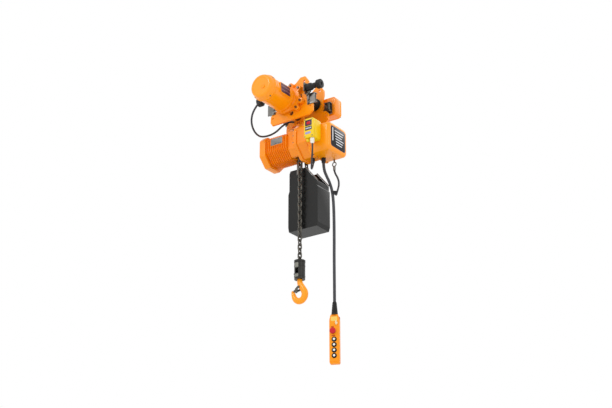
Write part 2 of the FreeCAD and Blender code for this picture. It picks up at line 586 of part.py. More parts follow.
def hook_and_chain():
    """Load chain, hook block, hook with its swivel nut, and sprung latch."""
    count = int((CHAIN_TOP - BLOCK_TOP) / CHAIN_PITCH)
    save("load_chain", chain(0, 0, BLOCK_TOP + count * CHAIN_PITCH, count, False))
    block = rod((0, 0, BLOCK_BOTTOM), (0, 0, BLOCK_TOP - 14), 25)
    block = block.fuse(rod((0, 0, BLOCK_TOP - 14), (0, 0, BLOCK_TOP - 2), 24))
    block = block.fuse(rod((0, 0, BLOCK_TOP - 1), (0, 0, BLOCK_TOP - 10), 26))
    block = block.cut(box(-13, 13, -13, 13, BLOCK_TOP - 30, BLOCK_TOP + 1))
    block = block.cut(box(-8, 8, -30, -12, BLOCK_TOP - 66, BLOCK_TOP - 42))
    block = block.cut(rod((0, 0, BLOCK_BOTTOM - 1), (0, 0, BLOCK_BOTTOM + 18), 11 + FIT))
    block = block.cut(rod((0, 0, BLOCK_BOTTOM + 18), (0, 0, BLOCK_BOTTOM + 42), 18))
    save("hook_block", block)
    knob = rod((-25.2, 0, -828), (-31, 0, -828), 4)
    last_link = BLOCK_TOP - CHAIN_D - CHAIN_PLAY
    pin = rod((-12.9, 0, last_link + 3.1), (12.9, 0, last_link + 3.1), 3)
    save("block_pins", Part.Compound([knob, pin]))
    save("load_hook", hook())
    save("hook_latch", latch())


def hook():
    """Forged hook: shank and nut above, round bowl below, point turned out at the left."""
    shank = rod((0, 0, BLOCK_BOTTOM + 30), (0, 0, -882), 11)
    nut = rod((0, 0, BLOCK_BOTTOM + 18.3), (0, 0, BLOCK_BOTTOM + 36), 16)
    centre = V(0, 0, HOOK_Z)
    reach = HOOK_BOWL_R + HOOK_BAR_R
    heel = V(reach, 0, HOOK_Z + 2)
    back = rod((heel.x, 0, heel.z), (4, 0, -880), HOOK_BAR_R)
    tip = Part.makeCone(HOOK_BAR_R, 5, 24, V(-reach, 0, heel.z), V(-0.35, 0, 1))
    whole = shank.fuse([nut, hook_arc(centre, reach), back, tip, Part.makeSphere(HOOK_BAR_R, heel)])
    x, z = LATCH_PIVOT
    return whole.cut(rod((x, -20, z), (x, 20, z), 2.5 + FIT))


def hook_arc(centre, reach):
    """Lower half ring of the hook's bowl."""
    start = V(centre.x + reach, 0, centre.z + 2)
    end = V(centre.x - reach, 0, centre.z + 2)
    spine = Part.Wire([Part.Arc(start, V(centre.x, 0, centre.z - reach), end).toShape()])
    ring = Part.Wire(Part.makeCircle(HOOK_BAR_R, start, V(0, 0, 1)))
    return spine.makePipeShell([ring], True, False)


def latch():
    """Sheet-metal latch: two cheeks on a pin through the hook, and a tongue across its throat."""
    x, z = LATCH_PIVOT
    pin = rod((x, -13, z), (x, 13, z), 2.5)
    cheek = [(x + 6, z + 3), (x + 6, z - 4), (-14, -912), (-18, -904), (x - 4, z + 6)]
    near = prism(cheek, "Y", -13, -11.3)
    far = prism(cheek, "Y", 11.3, 13)
    tongue = prism([(-12, -903), (-15, -911), (-27, -917), (-26, -911)], "Y", -12, 12)
    return pin.fuse([near, far, tongue])


def pendant_part(shape):
    """Turn a pendant piece from its own frame, where it faces -Y, to where it hangs."""
    placed = shape.copy()
    placed.rotate(V(0, 0, 0), V(0, 0, 1), PENDANT_TURN)
    placed.translate(V(PENDANT_X, PENDANT_Y, 0))
    return placed


def pendant():
    """Pendant case with its boot, emergency stop, key switch and four sprung push buttons."""
    half = PENDANT_WIDTH / 2
    front = -PENDANT_DEPTH / 2
    case = round_long(box(-half, half, front, -front, PENDANT_BOTTOM, PENDANT_TOP), 8, V(0, 0, 1))
    hollow = box(-half + 4, half - 4, front + 4, -front - 4, PENDANT_BOTTOM + 4, PENDANT_TOP - 4)
    case = case.cut(hollow)
    first = PENDANT_BOTTOM + 34
    stop_z = first + 4 * BUTTON_PITCH + 12
    key = (10, PENDANT_TOP - 42)
    rings = []
    for index in range(4):
        z = first + index * BUTTON_PITCH
        case = case.cut(rod((0, front - 1, z), (0, front + 5, z), 8.5))
        rings.append(tube((0, front, z), (0, front - 3.5, z), 11.5, 8.5))
        cap = rod((0, front + 8, z), (0, front - 6, z), 8.3)
        cap = cap.fuse(rod((0, front + 8, z), (0, front + 6, z), 10))
        save("push_button_" + str(index + 1), pendant_part(cap))
    case = case.cut(rod((-5, front - 1, stop_z), (-5, front + 5, stop_z), 6 + FIT))
    case = case.cut(rod((key[0], front - 1, key[1]), (key[0], front + 5, key[1]), 6 + FIT))
    case = case.cut(rod((0, 0, PENDANT_TOP - 5), (0, 0, PENDANT_TOP + 1), 6.9))
    save("pendant_case", pendant_part(case.fuse(rings)))
    stop = rod((-5, front + 12, stop_z), (-5, front - 8, stop_z), 6)
    mushroom = rod((-5, front - 8, stop_z), (-5, front - 17, stop_z), 14)
    save("emergency_stop", pendant_part(stop.fuse(mushroom)))
    knob = rod((key[0], front + 12, key[1]), (key[0], front - 3, key[1]), 6)
    grip = box(key[0] - 2.5, key[0] + 2.5, front - 12, front - 3, key[1] - 9, key[1] + 9)
    save("key_switch", pendant_part(knob.fuse(grip)))
    boot = Part.makeCone(15, 9.5, 60, V(0, 0, PENDANT_TOP + 0.1), V(0, 0, 1))
    boot = boot.cut(rod((0, 0, PENDANT_TOP), (0, 0, PENDANT_TOP + 61), 7.6))
    save("pendant_boot", pendant_part(boot))


def rope_clip():
    """Galvanised shackle under the control cover that takes the pendant's strain rope."""
    eye = rod((152, 62, COVER_BOTTOM - 0.2), (152, 62, -296), 4)
    ring = Part.makeTorus(10, 2.5, V(152, 62, -306), V(0, 1, 0))
    ferrule = rod((152, 62, -317), (152, 62, -336), 6)
    return eye.fuse([ring, ferrule])


def cords():
    """Travel motor cable, limiter cable, pendant cable and its strain rope."""
    cord("trolley_cable",
         [(-76.8, INLET_Y, -36.8), (-97, -223, -58), (-116, -220, -83), (-131, -208, -108),
          (-143, -184, -130), (-153, -148, -143), (-162, -106, -142), (-167, -68, -130), (-163, -38, -116),
          (-146, -20, -104), (-120, -16, -92), (-92, -19, -77), (-66, -12, -63), (-49.6, 8.7, -53),
          (-46, 31.6, -50)], 9)
    cord("limiter_cable",
         [(148, -112, -262.8), (147.5, -110, -290), (139, -101, -322), (120, -79, -346), (99, -49, -354),
          (84, -20, -340), (80, -6, -310.2)], 8)
    cord("pendant_cable",
         [(120, 20, -308.7), (121, 21, -338), (129, 28, -368), (141, 38, -402), (150, 46, -444),
          (155, 50, -510), (158, 48, -640), (155, 50, -780), (156.5, 48.5, -910), (156, 49, -1043.6)], 13.6)
    cord("strain_rope",
         [(152, 62, -337.2), (156, 63, -354), (168, 66, -376), (175, 66, -404), (172, 62, -436),
          (163.5, 56, -466)], 9)


def main():
    os.makedirs("parts", exist_ok=True)
    trolley_frame()
    wheels()
    guide_rollers()
    bumpers()
    drive_unit()
    trolley_control_box()
    hoist_casings()
    hoist_machinery()
    save("casing_bolts", Part.Compound(trolley_bolts(-PLATE_OUTER) + case_screws()))
    load_limiter()
    chain_container()
    hook_and_chain()
    pendant()
    save("rope_clip", rope_clip())
    cords()


main()
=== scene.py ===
import math

import bmesh
import bpy
import numpy as np
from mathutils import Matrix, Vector


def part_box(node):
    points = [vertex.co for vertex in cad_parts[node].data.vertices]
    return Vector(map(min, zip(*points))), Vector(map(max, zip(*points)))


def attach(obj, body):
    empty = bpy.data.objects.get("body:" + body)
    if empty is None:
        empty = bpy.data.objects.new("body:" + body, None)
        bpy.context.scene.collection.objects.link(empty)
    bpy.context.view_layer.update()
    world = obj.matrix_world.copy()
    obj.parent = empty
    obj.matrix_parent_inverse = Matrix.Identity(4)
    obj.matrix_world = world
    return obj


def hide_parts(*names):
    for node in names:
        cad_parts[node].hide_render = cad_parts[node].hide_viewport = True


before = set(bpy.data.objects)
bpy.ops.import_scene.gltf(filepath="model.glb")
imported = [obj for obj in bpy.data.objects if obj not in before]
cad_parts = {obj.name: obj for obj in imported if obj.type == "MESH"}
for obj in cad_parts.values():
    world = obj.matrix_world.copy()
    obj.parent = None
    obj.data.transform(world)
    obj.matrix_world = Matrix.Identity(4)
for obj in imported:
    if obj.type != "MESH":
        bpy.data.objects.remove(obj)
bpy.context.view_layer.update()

# --------------------------------------
# The room round the hoist: a pale floor far below it, soft studio lamps and the camera, which
# stands below the beam and looks up at the near, motor side. None of it is part of the hoist.
# --------------------------------------


def linear(code):
    """An sRGB hex colour as linear RGBA: the sRGB transfer curve undone channel by channel."""
    channels = np.array([int(code[i:i + 2], 16) for i in (0, 2, 4)]) / 255
    low = channels / 12.92
    high = ((channels + 0.055) / 1.055) ** 2.4
    return (*np.where(channels <= 0.04045, low, high).tolist(), 1.0)


def add_node(tree, kind, values=None, links=None, **settings):
    """One shader node: its settings, its socket values, and links from other nodes' sockets."""
    made = tree.nodes.new(kind)
    for key, value in settings.items():
        setattr(made, key, value)
    for socket, value in (values or {}).items():
        made.inputs[socket].default_value = value
    for socket, source in (links or {}).items():
        tree.links.new(source, made.inputs[socket])
    return made


def start_material(name):
    """A new material with its Principled shader and Object coordinates."""
    material = bpy.data.materials.new(name)
    material.use_nodes = True
    tree = material.node_tree
    shader = tree.nodes["Principled BSDF"]
    place = tree.nodes.new("ShaderNodeTexCoord").outputs["Object"]
    return material, tree, shader, place


def make_room():
    floor_z = -3.4
    half = 9.0
    mesh = bpy.data.meshes.new("studio_floor")
    mesh.from_pydata([(-half, -half, floor_z), (half, -half, floor_z), (half, half, floor_z),
                      (-half, half, floor_z)], [], [(0, 1, 2, 3)])
    floor = bpy.data.objects.new("studio_floor", mesh)
    bpy.context.collection.objects.link(floor)
    material, tree, shader, place = start_material("pale painted floor")
    speckle = add_node(tree, "ShaderNodeTexNoise", {"Scale": 3.0}, {"Vector": place})
    shade = add_node(tree, "ShaderNodeMix", {6: linear("F2F2F0"), 7: linear("FAFAF9")},
                     {0: speckle.outputs["Fac"]}, data_type="RGBA")
    tree.links.new(shade.outputs[2], shader.inputs["Base Color"])
    shader.inputs["Roughness"].default_value = 0.7
    mesh.materials.append(material)
    world = bpy.data.worlds.new("studio_air")
    bpy.context.scene.world = world
    world.use_nodes = True
    air = world.node_tree.nodes["Background"]
    air.inputs["Color"].default_value = linear("FFFFFF")
    air.inputs["Strength"].default_value = 1.0
    bpy.context.scene.view_settings.view_transform = "Standard"
    lamps = (("key_lamp", (-1.0, -3.2, 1.9), 26, 0.7), ("fill_lamp", (3.2, -1.0, 0.6), 9, 1.2),
             ("rim_lamp", (0.8, 2.6, 1.8), 10, 1.2))
    for name, spot, power, width in lamps:
        light = bpy.data.lights.new(name, "AREA")
        light.energy = power
        light.size = width
        lamp = bpy.data.objects.new(name, light)
        lamp.location = spot
        lamp.rotation_euler = (Vector((0, 0, -0.4)) - Vector(spot)).to_track_quat("-Z", "Y").to_euler()
        bpy.context.collection.objects.link(lamp)


def make_camera():
    """Stands 6.4 m off and 3.1 m down, towards the motor side, with a long lens and no shift."""
    tilt_up = math.radians(22.22)
    swing_round = math.radians(34.92)
    lens = bpy.data.cameras.new("camera")
    lens.lens = 88.2
    lens.clip_end = 60
    camera = bpy.data.objects.new("camera", lens)
    camera.location = (3.695, -5.243, -3.11)
    camera.rotation_euler = (math.pi / 2 + tilt_up, 0, swing_round)
    bpy.context.collection.objects.link(camera)
    bpy.context.scene.camera = camera


make_room()
make_camera()

# --------------------------------------
# Cords: the travel motor's flex, the limiter's flex, the pendant's control cable and its strain
# rope. Round black PVC over copper cores; each runs from a gland and is held at both ends.
# --------------------------------------


def pvc_jacket(name, colour, ring_mm):
    """Extruded PVC: satin black, with faint rings round the cord where the cores are laid."""
    material, tree, shader, place = start_material(name)
    rings = add_node(tree, "ShaderNodeTexWave", {"Scale": 1000 / ring_mm / (2 * math.pi), "Distortion": 1.5},
                     {"Vector": place}, bands_direction="Z")
    grime = add_node(tree, "ShaderNodeTexNoise", {"Scale": 60.0, "Detail": 4.0}, {"Vector": place})
    tone = add_node(tree, "ShaderNodeMix", {6: linear(colour), 7: linear("3A3A40")},
                    {0: grime.outputs["Fac"]}, data_type="RGBA")
    tree.links.new(tone.outputs[2], shader.inputs["Base Color"])
    bump = add_node(tree, "ShaderNodeBump", {"Strength": 0.25, "Distance": 0.0006},
                    {"Height": rings.outputs["Fac"]})
    tree.links.new(bump.outputs["Normal"], shader.inputs["Normal"])
    shader.inputs["Roughness"].default_value = 0.42
    return material


def hang_cord(name, node, points_mm, width_mm, jacket):
    """A cord on the route's points, as a round NURBS curve, in place of its CAD tube."""
    curve = bpy.data.curves.new(name, "CURVE")
    curve.dimensions = "3D"
    curve.bevel_depth = width_mm / 2000
    curve.bevel_resolution = 5
    curve.resolution_u = 12
    curve.use_fill_caps = True
    line = curve.splines.new("NURBS")
    line.points.add(len(points_mm) - 1)
    for point, spot in zip(line.points, points_mm):
        point.co = (spot[0] / 1000, spot[1] / 1000, spot[2] / 1000, 1)
    line.order_u = 3
    line.use_endpoint_u = True
    curve.materials.append(jacket)
    cord = bpy.data.objects.new(name, curve)
    bpy.context.collection.objects.link(cord)
    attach(cord, "hoist_frame")
    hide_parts(node)


black_flex = pvc_jacket("black PVC flex", "141416", 9)
slate_flex = pvc_jacket("slate PVC control cable", "202228", 14)
hang_cord("travel_motor_flex", "trolley_cable",
          [(-76.8, -222, -36.8), (-97, -223, -58), (-116, -220, -83), (-131, -208, -108), (-143, -184, -130),
           (-153, -148, -143), (-162, -106, -142), (-167, -68, -130), (-163, -38, -116), (-146, -20, -104),
           (-120, -16, -92), (-92, -19, -77), (-66, -12, -63), (-49.6, 8.7, -53), (-46, 31.6, -50)],
          9, black_flex)
hang_cord("limiter_flex", "limiter_cable",
          [(148, -112, -262.8), (147.5, -110, -290), (139, -101, -322), (120, -79, -346), (99, -49, -354),
           (84, -20, -340), (80, -6, -310.2)], 8, black_flex)
hang_cord("pendant_control_cable", "pendant_cable",
          [(120, 20, -308.7), (121, 21, -338), (129, 28, -368), (141, 38, -402), (150, 46, -444),
           (155, 50, -510), (158, 48, -640), (155, 50, -780), (156.5, 48.5, -910), (156, 49, -1043.6)],
          13.6, slate_flex)
hang_cord("pendant_strain_rope", "strain_rope",
          [(152, 62, -337.2), (156, 63, -354), (168, 66, -376), (175, 66, -404), (172, 62, -436),
           (163.5, 56, -466)], 9, black_flex)

# --------------------------------------
# Trolley side plates, lug and sheave housing: flame-cut and cast steel, edges dressed by hand,
# then sprayed with amber-orange two-pack enamel, so they shine and show a slight orange peel.
# --------------------------------------


def orange_enamel(name, colour, deep, roughness, peel_mm=2.4, cloud_mm=140):
    """Sprayed enamel: slow tone change, small dust specks, orange peel, and a thin gloss coat."""
    material, tree, shader, place = start_material(name)
    cloud = add_node(tree, "ShaderNodeTexNoise", {"Scale": 1000 / cloud_mm, "Detail": 3.0},
                     {"Vector": place})
    tone = add_node(tree, "ShaderNodeMix", {6: linear(colour), 7: linear(deep)},
                    {0: cloud.outputs["Fac"]}, data_type="RGBA")
    specks = add_node(tree, "ShaderNodeTexNoise", {"Scale": 400.0, "Detail": 2.0}, {"Vector": place})
    dust = add_node(tree, "ShaderNodeMapRange", {"From Min": 0.64, "From Max": 0.78, "To Max": 0.3},
                    {"Value": specks.outputs["Fac"]})
    dusty = add_node(tree, "ShaderNodeMix", {7: linear("A8560A")},
                     {0: dust.outputs["Result"], 6: tone.outputs[2]}, data_type="RGBA")
    tree.links.new(dusty.outputs[2], shader.inputs["Base Color"])
    peel = add_node(tree, "ShaderNodeTexNoise", {"Scale": 1000 / peel_mm, "Detail": 1.0},
                    {"Vector": place})
    bump = add_node(tree, "ShaderNodeBump", {"Strength": 0.1, "Distance": 0.0005},
                    {"Height": peel.outputs["Fac"]})
    tree.links.new(bump.outputs["Normal"], shader.inputs["Normal"])
    gloss = add_node(tree, "ShaderNodeMapRange", {"To Min": roughness - 0.05, "To Max": roughness + 0.1},
                     {"Value": cloud.outputs["Fac"]})
    tree.links.new(gloss.outputs["Result"], shader.inputs["Roughness"])
    shader.inputs["Specular IOR Level"].default_value = 0.3
    shader.inputs["Coat Weight"].default_value = 0.3
    shader.inputs["Coat Roughness"].default_value = 0.1
    return material


def finish_node(node, material):
    """Gives a CAD piece its material in every slot it has."""
    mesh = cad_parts[node].data
    if not mesh.materials:
        mesh.materials.append(material)
    for index in range(len(mesh.materials)):
        mesh.materials[index] = material


crease = math.radians(32)
weld_gap = 0.00002


def dressed(node, name, material, edge_mm, body="hoist_frame", segments=2):
    """A merged copy of a CAD piece with its sharp edges rounded, standing for that piece."""
    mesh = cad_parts[node].data.copy()
    mesh.name = name
    shape = bmesh.new()
    shape.from_mesh(mesh)
    bmesh.ops.remove_doubles(shape, verts=shape.verts, dist=weld_gap)
    bmesh.ops.dissolve_limit(shape, angle_limit=math.radians(1.5), verts=shape.verts, edges=shape.edges)
    shape.to_mesh(mesh)
    shape.free()
    mesh.materials.clear()
    mesh.materials.append(material)
    mesh.shade_smooth()
    mesh.set_sharp_from_angle(angle=crease)
    piece = bpy.data.objects.new(name, mesh)
    bpy.context.collection.objects.link(piece)
    edge = piece.modifiers.new("dressed_edges", "BEVEL")
    edge.width = edge_mm / 1000
    edge.segments = segments
    edge.limit_method = "ANGLE"
    edge.angle_limit = crease
    edge.harden_normals = True
    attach(piece, body)
    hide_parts(node)
    return piece


# Plates take the spray evenly. Castings are a shade deeper and their peel is coarser.
plate_enamel = orange_enamel("orange two-pack enamel", "FF9E02", "FC9300", 0.28)
cast_enamel = orange_enamel("orange enamel on castings", "FD9602", "F28600", 0.32, 3.2)
dressed("near_side_plate", "trolley_plate_near", plate_enamel, 1.2)
dressed("far_side_plate", "trolley_plate_far", plate_enamel, 1.2)
dressed("suspension_lug", "forged_lug", cast_enamel, 2.0)
dressed("sheave_housing", "cast_sheave_housing", cast_enamel, 1.6)

# --------------------------------------
# Shaft, axles, wheels, rollers, chain and the gears inside: turned, hobbed or forged steel. The
# running parts are oiled, the chain is case-hardened black, brackets are bright zinc plated.
# --------------------------------------


def steel(name, colour, second, roughness, mark_mm, metallic=1.0):
    """Steel: tool marks or plating spangle as fine noise, oil film as a slow change of tone; on black oxide
    the lighter tone is a painted highlight.
    """
    material, tree, shader, place = start_material(name)
    oil_film_and_highlight = add_node(tree, "ShaderNodeTexNoise", {"Scale": 35.0, "Detail": 5.0}, {"Vector": place})
    tone = add_node(tree, "ShaderNodeMix", {6: linear(colour), 7: linear(second)},
                    {0: oil_film_and_highlight.outputs["Fac"]}, data_type="RGBA")
    tree.links.new(tone.outputs[2], shader.inputs["Base Color"])
    marks = add_node(tree, "ShaderNodeTexNoise", {"Scale": 1000 / mark_mm, "Detail": 3.0},
                     {"Vector": place})
    rough = add_node(tree, "ShaderNodeMapRange", {"To Min": roughness - 0.1, "To Max": roughness + 0.15},
                     {"Value": marks.outputs["Fac"]})
    tree.links.new(rough.outputs["Result"], shader.inputs["Roughness"])
    bump = add_node(tree, "ShaderNodeBump", {"Strength": 0.2, "Distance": 0.0003},
                    {"Height": marks.outputs["Fac"]})
    tree.links.new(bump.outputs["Normal"], shader.inputs["Normal"])
    shader.inputs["Metallic"].default_value = metallic
    return material


# Turned steel is bright grey, black oxide is near black with a light grey mottle that is a painted highlight,
# zinc has a soft mottle and cast iron is dull brown-grey.
turned_steel = steel("turned steel", "9A9A98", "6E6C68", 0.32, 1.2)
# The light grey second colour paints highlights into the colour of the chain links and the other black-oxide
# parts.
black_oxide = steel("black-oxide steel", "2A2A2A", "77736A", 0.28, 1.6, 0.9)
zinc_plate = steel("bright zinc plate", "8E8C88", "5C5A56", 0.3, 2.0)
cast_iron = steel("cast wheel iron", "4A4744", "2E2C2B", 0.5, 2.0, 0.9)
for node in ("suspension_shaft", "wheel_axles", "drive_rotor", "drive_pinion", "motor_rotor",
             "intermediate_gear", "load_sheave"):
    finish_node(node, turned_steel)
for node in ("shaft_spacers", "bumper_brackets", "load_chain", "slack_chain", "block_pins", "hook_latch",
             "guide_roller_near_left", "guide_roller_near_right", "guide_roller_far_left",
             "guide_roller_far_right"):
    finish_node(node, black_oxide)
for node in ("casing_bolts", "container_hanger", "rope_clip"):
    finish_node(node, zinc_plate)
for node in ("wheel_near_left", "wheel_near_right", "wheel_far_left", "wheel_far_right", "motor_stator"):
    finish_node(node, cast_iron)
dressed("roller_brackets", "bent_roller_brackets", zinc_plate, 0.8)

# --------------------------------------
# Bumpers: moulded black rubber spools, bolted on from behind, softly rounded at every step.
# --------------------------------------


def moulded(name, colour, worn, roughness, grain_mm, depth=0.3, cloud_mm=80):
    """Moulded rubber or polymer: a spark-eroded grain, and a slight chalky change of tone."""
    material, tree, shader, place = start_material(name)
    chalk = add_node(tree, "ShaderNodeTexNoise", {"Scale": 1000 / cloud_mm, "Detail": 6.0},
                     {"Vector": place})
    tone = add_node(tree, "ShaderNodeMix", {6: linear(colour), 7: linear(worn)},
                    {0: chalk.outputs["Fac"]}, data_type="RGBA")
    tree.links.new(tone.outputs[2], shader.inputs["Base Color"])
    grain = add_node(tree, "ShaderNodeTexNoise", {"Scale": 1000 / grain_mm, "Detail": 2.0},
                     {"Vector": place})
    bump = add_node(tree, "ShaderNodeBump", {"Strength": depth, "Distance": 0.0003},
                    {"Height": grain.outputs["Fac"]})
    tree.links.new(bump.outputs["Normal"], shader.inputs["Normal"])
    shader.inputs["Roughness"].default_value = roughness
    shader.inputs["Specular IOR Level"].default_value = 0.3
    return material


def face_outwards(mesh):
    """Turns a closed mesh the right way out: the signed volume of its faces must be positive."""
    mesh.calc_loop_triangles()
    corners = np.empty(len(mesh.loop_triangles) * 3, dtype=np.int32)
    mesh.loop_triangles.foreach_get("vertices", corners)
    places = np.empty(len(mesh.vertices) * 3)
    mesh.vertices.foreach_get("co", places)
    a, b, c = np.moveaxis(places.reshape(-1, 3)[corners.reshape(-1, 3)], 1, 0)
    if np.einsum("ij,ij->i", a, np.cross(b, c)).sum() < 0:
        mesh.flip_normals()


def skin(name, points, material, body="hoist_frame", replaced=(), sharp=38):
    """A closed piece from a grid of points: each row is a ring, and the first and last are capped."""
    rows, columns = points.shape[:2]
    across = np.arange(columns)
    down = np.arange(rows - 1)[:, None] * columns
    corners = [down + across, down + (across + 1) % columns,
               down + columns + (across + 1) % columns, down + columns + across]
    faces = np.stack(corners, axis=-1).reshape(-1, 4).tolist()
    faces.append(list(range(columns))[::-1])
    faces.append(list(range((rows - 1) * columns, rows * columns)))
    mesh = bpy.data.meshes.new(name)
    mesh.from_pydata(points.reshape(-1, 3).tolist(), [], faces)
    mesh.materials.append(material)
    mesh.update()
    face_outwards(mesh)
    mesh.shade_smooth()
    mesh.set_sharp_from_angle(angle=math.radians(sharp))
    piece = bpy.data.objects.new(name, mesh)
    bpy.context.collection.objects.link(piece)
    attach(piece, body)
    if replaced:
        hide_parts(*replaced)
    return piece


def turned(profile, centre, axis, segments=72):
    """A surface of revolution in mm: (along, radius) pairs swung about a line along X, Y or Z."""
    along, radius = np.array(profile, dtype=float).T
    angle = np.linspace(0, 2 * math.pi, segments, endpoint=False)
    u = radius[:, None] * np.cos(angle)
    v = radius[:, None] * np.sin(angle)
    h = np.repeat(along[:, None], segments, axis=1)
    order = {"X": (h, u, v), "Y": (u, h, v), "Z": (u, v, h)}[axis]
    return (np.stack(order, axis=-1) + np.array(centre, dtype=float)) / 1000


rubber = moulded("moulded bumper rubber", "101010", "262626", 0.5, 0.9)
low, high = (corner * 1000 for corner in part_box("bumpers"))
bumper_y = (low[1] + high[1]) / 2
bumper_z = (low[2] + high[2]) / 2
bumper_reach = high[0]
spool = [(0, 14), (0.5, 17), (2, 18), (27, 18), (30, 17), (32, 14.5), (36, 13.2), (54, 13.2), (58, 15),
         (61, 20), (63, 21.7), (65, 22), (71, 22), (72, 21.2), (73, 22), (81, 22), (83.4, 21.2), (84, 19),
         (84, 8), (80, 6.5), (80, 3)]
for side, end in (("left", -1), ("right", 1)):
    start = end * (bumper_reach - 84)
    skin("bumper_" + side,
         turned([(end * along, radius) for along, radius in spool], (start, bumper_y, bumper_z), "X"), rubber,
         replaced=("bumpers",) if end > 0 else ())

# --------------------------------------
# Travel drive: a cast gear casing whose flange swells into a lobe at each bolt, the smooth drawn
# motor shell, and a spun end cap with its rolled rim. All are sprayed after assembly.
# --------------------------------------


def rounded_outline(corners, radius, steps=6):
    """A polygon whose corners are arcs tangent to both sides: its points and outward normals."""
    corner = np.array(corners, dtype=float)
    radius = np.broadcast_to(np.array(radius, dtype=float), len(corner))
    back = np.roll(corner, 1, axis=0) - corner
    fore = np.roll(corner, -1, axis=0) - corner
    back /= np.linalg.norm(back, axis=1)[:, None]
    fore /= np.linalg.norm(fore, axis=1)[:, None]
    half = np.arccos(np.clip((back * fore).sum(axis=1), -1, 1)) / 2
    middle = (back + fore) / np.linalg.norm(back + fore, axis=1)[:, None]
    centre = corner + middle * (radius / np.sin(half))[:, None]
    enter = corner + back * (radius / np.tan(half))[:, None] - centre
    leave = corner + fore * (radius / np.tan(half))[:, None] - centre
    first = np.arctan2(enter[:, 1], enter[:, 0])
    sweep = np.arctan2(leave[:, 1], leave[:, 0]) - first
    sweep = (sweep + math.pi) % (2 * math.pi) - math.pi
    angle = first[:, None] + sweep[:, None] * np.linspace(0, 1, steps + 1)
    normal = np.stack((np.cos(angle), np.sin(angle)), axis=-1)
    points = centre[:, None] + radius[:, None, None] * normal
    area = np.sum(corner[:, 0] * np.roll(corner[:, 1], -1) - corner[:, 1] * np.roll(corner[:, 0], -1))
    hollow = np.sign(sweep) != np.sign(area)
    normal[hollow] *= -1
    return points.reshape(-1, 2), normal.reshape(-1, 2)


def soft_ends(start, end, edge, steps=4):
    """Stations from start to end, (along, inset), with a quarter circle of radius edge at both."""
    turn = np.linspace(0, math.pi / 2, steps + 1)
    way = math.copysign(1, end - start)
    near = np.stack((start + way * edge * (1 - np.cos(turn)), edge * (1 - np.sin(turn))), axis=-1)
    far = np.stack((end - way * edge * (1 - np.cos(turn)), edge * (1 - np.sin(turn))), axis=-1)[::-1]
    return np.concatenate((near, far))


def carried(outline, stations, axis):
    """An outline in mm carried along an axis: at each station it is drawn in along its normals."""
    points, normals = outline
    along, inset = np.array(stations, dtype=float).T
    flat = points[None] - normals[None] * inset[:, None, None]
    h = np.broadcast_to(along[:, None], flat.shape[:2])
    order = {"X": (h, flat[..., 0], flat[..., 1]), "Y": (flat[..., 0], h, flat[..., 1]),
             "Z": (flat[..., 0], flat[..., 1], h)}[axis]
    return np.stack(order, axis=-1) / 1000


def lobed_flange(radius, lobes, lobe_radius, centre, stations, columns=220):
    """Polar outline: the largest, softly, of a circle and one small circle for each bolt lobe."""
    angle = np.linspace(0, 2 * math.pi, columns, endpoint=False)
    lobe = np.array(lobes, dtype=float) - np.array(centre, dtype=float)
    reach = np.linalg.norm(lobe, axis=1)[:, None]
    offset = angle[None] - np.arctan2(lobe[:, 1], lobe[:, 0])[:, None]
    under = lobe_radius ** 2 - (reach * np.sin(offset)) ** 2
    swell = np.where((under > 0) & (np.cos(offset) > 0),
                     reach * np.cos(offset) + np.sqrt(np.maximum(under, 0)), 0)
    power = 28
    edge = (radius ** power + (swell ** power).sum(axis=0)) ** (1 / power)
    edge = (edge + np.roll(edge, 1) + np.roll(edge, -1)) / 3
    normal = np.stack((np.cos(angle), np.sin(angle)), axis=-1)
    outline = (normal * edge[:, None] + np.array(centre, dtype=float), normal)
    return carried(outline, stations, "Y")


low, high = (corner * 1000 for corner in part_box("drive_gear_casing"))
casing_back = high[1]
neck_front = low[1]
shell_low, shell_high = (corner * 1000 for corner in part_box("drive_motor_shell"))
cap_low, cap_high = (corner * 1000 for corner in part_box("drive_motor_cap"))
rim_radius = (cap_high[2] - cap_low[2]) / 2
motor_x = (cap_low[0] + cap_high[0]) / 2
motor_z = (cap_low[2] + cap_high[2]) / 2
motor_radius = rim_radius - 4
drive_z = 12
casing_lobes = ((52, 58), (63, -10), (8, 80), (40, -40))
skin("travel_gear_casing",
     lobed_flange(58, casing_lobes, 14, (0, drive_z), soft_ends(casing_back, casing_back - 21.8, 3.5)),
     cast_enamel, replaced=("drive_gear_casing",))
neck = [(casing_back - 14, 66), (casing_back - 19, 65.4), (casing_back - 22, 64), (casing_back - 25, 62.4),
        (casing_back - 29, 60.8), (neck_front + 1, 60.2), (neck_front, 57)]
skin("travel_gear_neck", turned(neck, (motor_x, 0, motor_z), "Y"), cast_enamel)
rim_y = cap_high[1]
shell_y = shell_high[1]
shell = [(shell_y, -6), (shell_y, -1.4), (shell_y - 1, -0.2), (shell_y - 8, 0), (shell_y - 9, -1),
         (shell_y - 11, -1), (shell_y - 12, 0), (rim_y + 9, 0), (rim_y + 8, -1), (rim_y + 6, -1),
         (rim_y + 5, 0), (rim_y + 1, 0), (rim_y, -1), (rim_y, -20)]
shell = [(along, motor_radius + step) for along, step in shell]
skin("travel_motor_shell", turned(shell, (motor_x, 0, motor_z), "Y", 96), plate_enamel,
     replaced=("drive_motor_shell",))
dish = cap_low[1] + 4
cap = [(rim_y, -11), (rim_y, 1), (rim_y - 0.8, 3.2), (rim_y - 2.5, 4), (rim_y - 9, 4), (rim_y - 11, 3),
       (rim_y - 12.4, 0.6), (rim_y - 20, -0.6), (dish + 8, -3.4), (dish + 3.4, -6), (dish + 1, -9.4),
       (dish, -14), (dish, -18), (dish + 1.2, -19.4), (dish + 1.2, -44), (dish + 1, -motor_radius + 2)]
cap = [(along, motor_radius + step) for along, step in cap]
skin("travel_motor_cap", turned(cap, (motor_x, 0, motor_z), "Y", 96), plate_enamel,
     replaced=("drive_motor_cap",))
boss = [(dish + 3, 9.6), (dish, 9.4), (dish - 2.4, 9), (dish - 3.4, 8), (dish - 3.4, 5.4), (dish - 2, 4.6),
        (dish - 2, 1)]
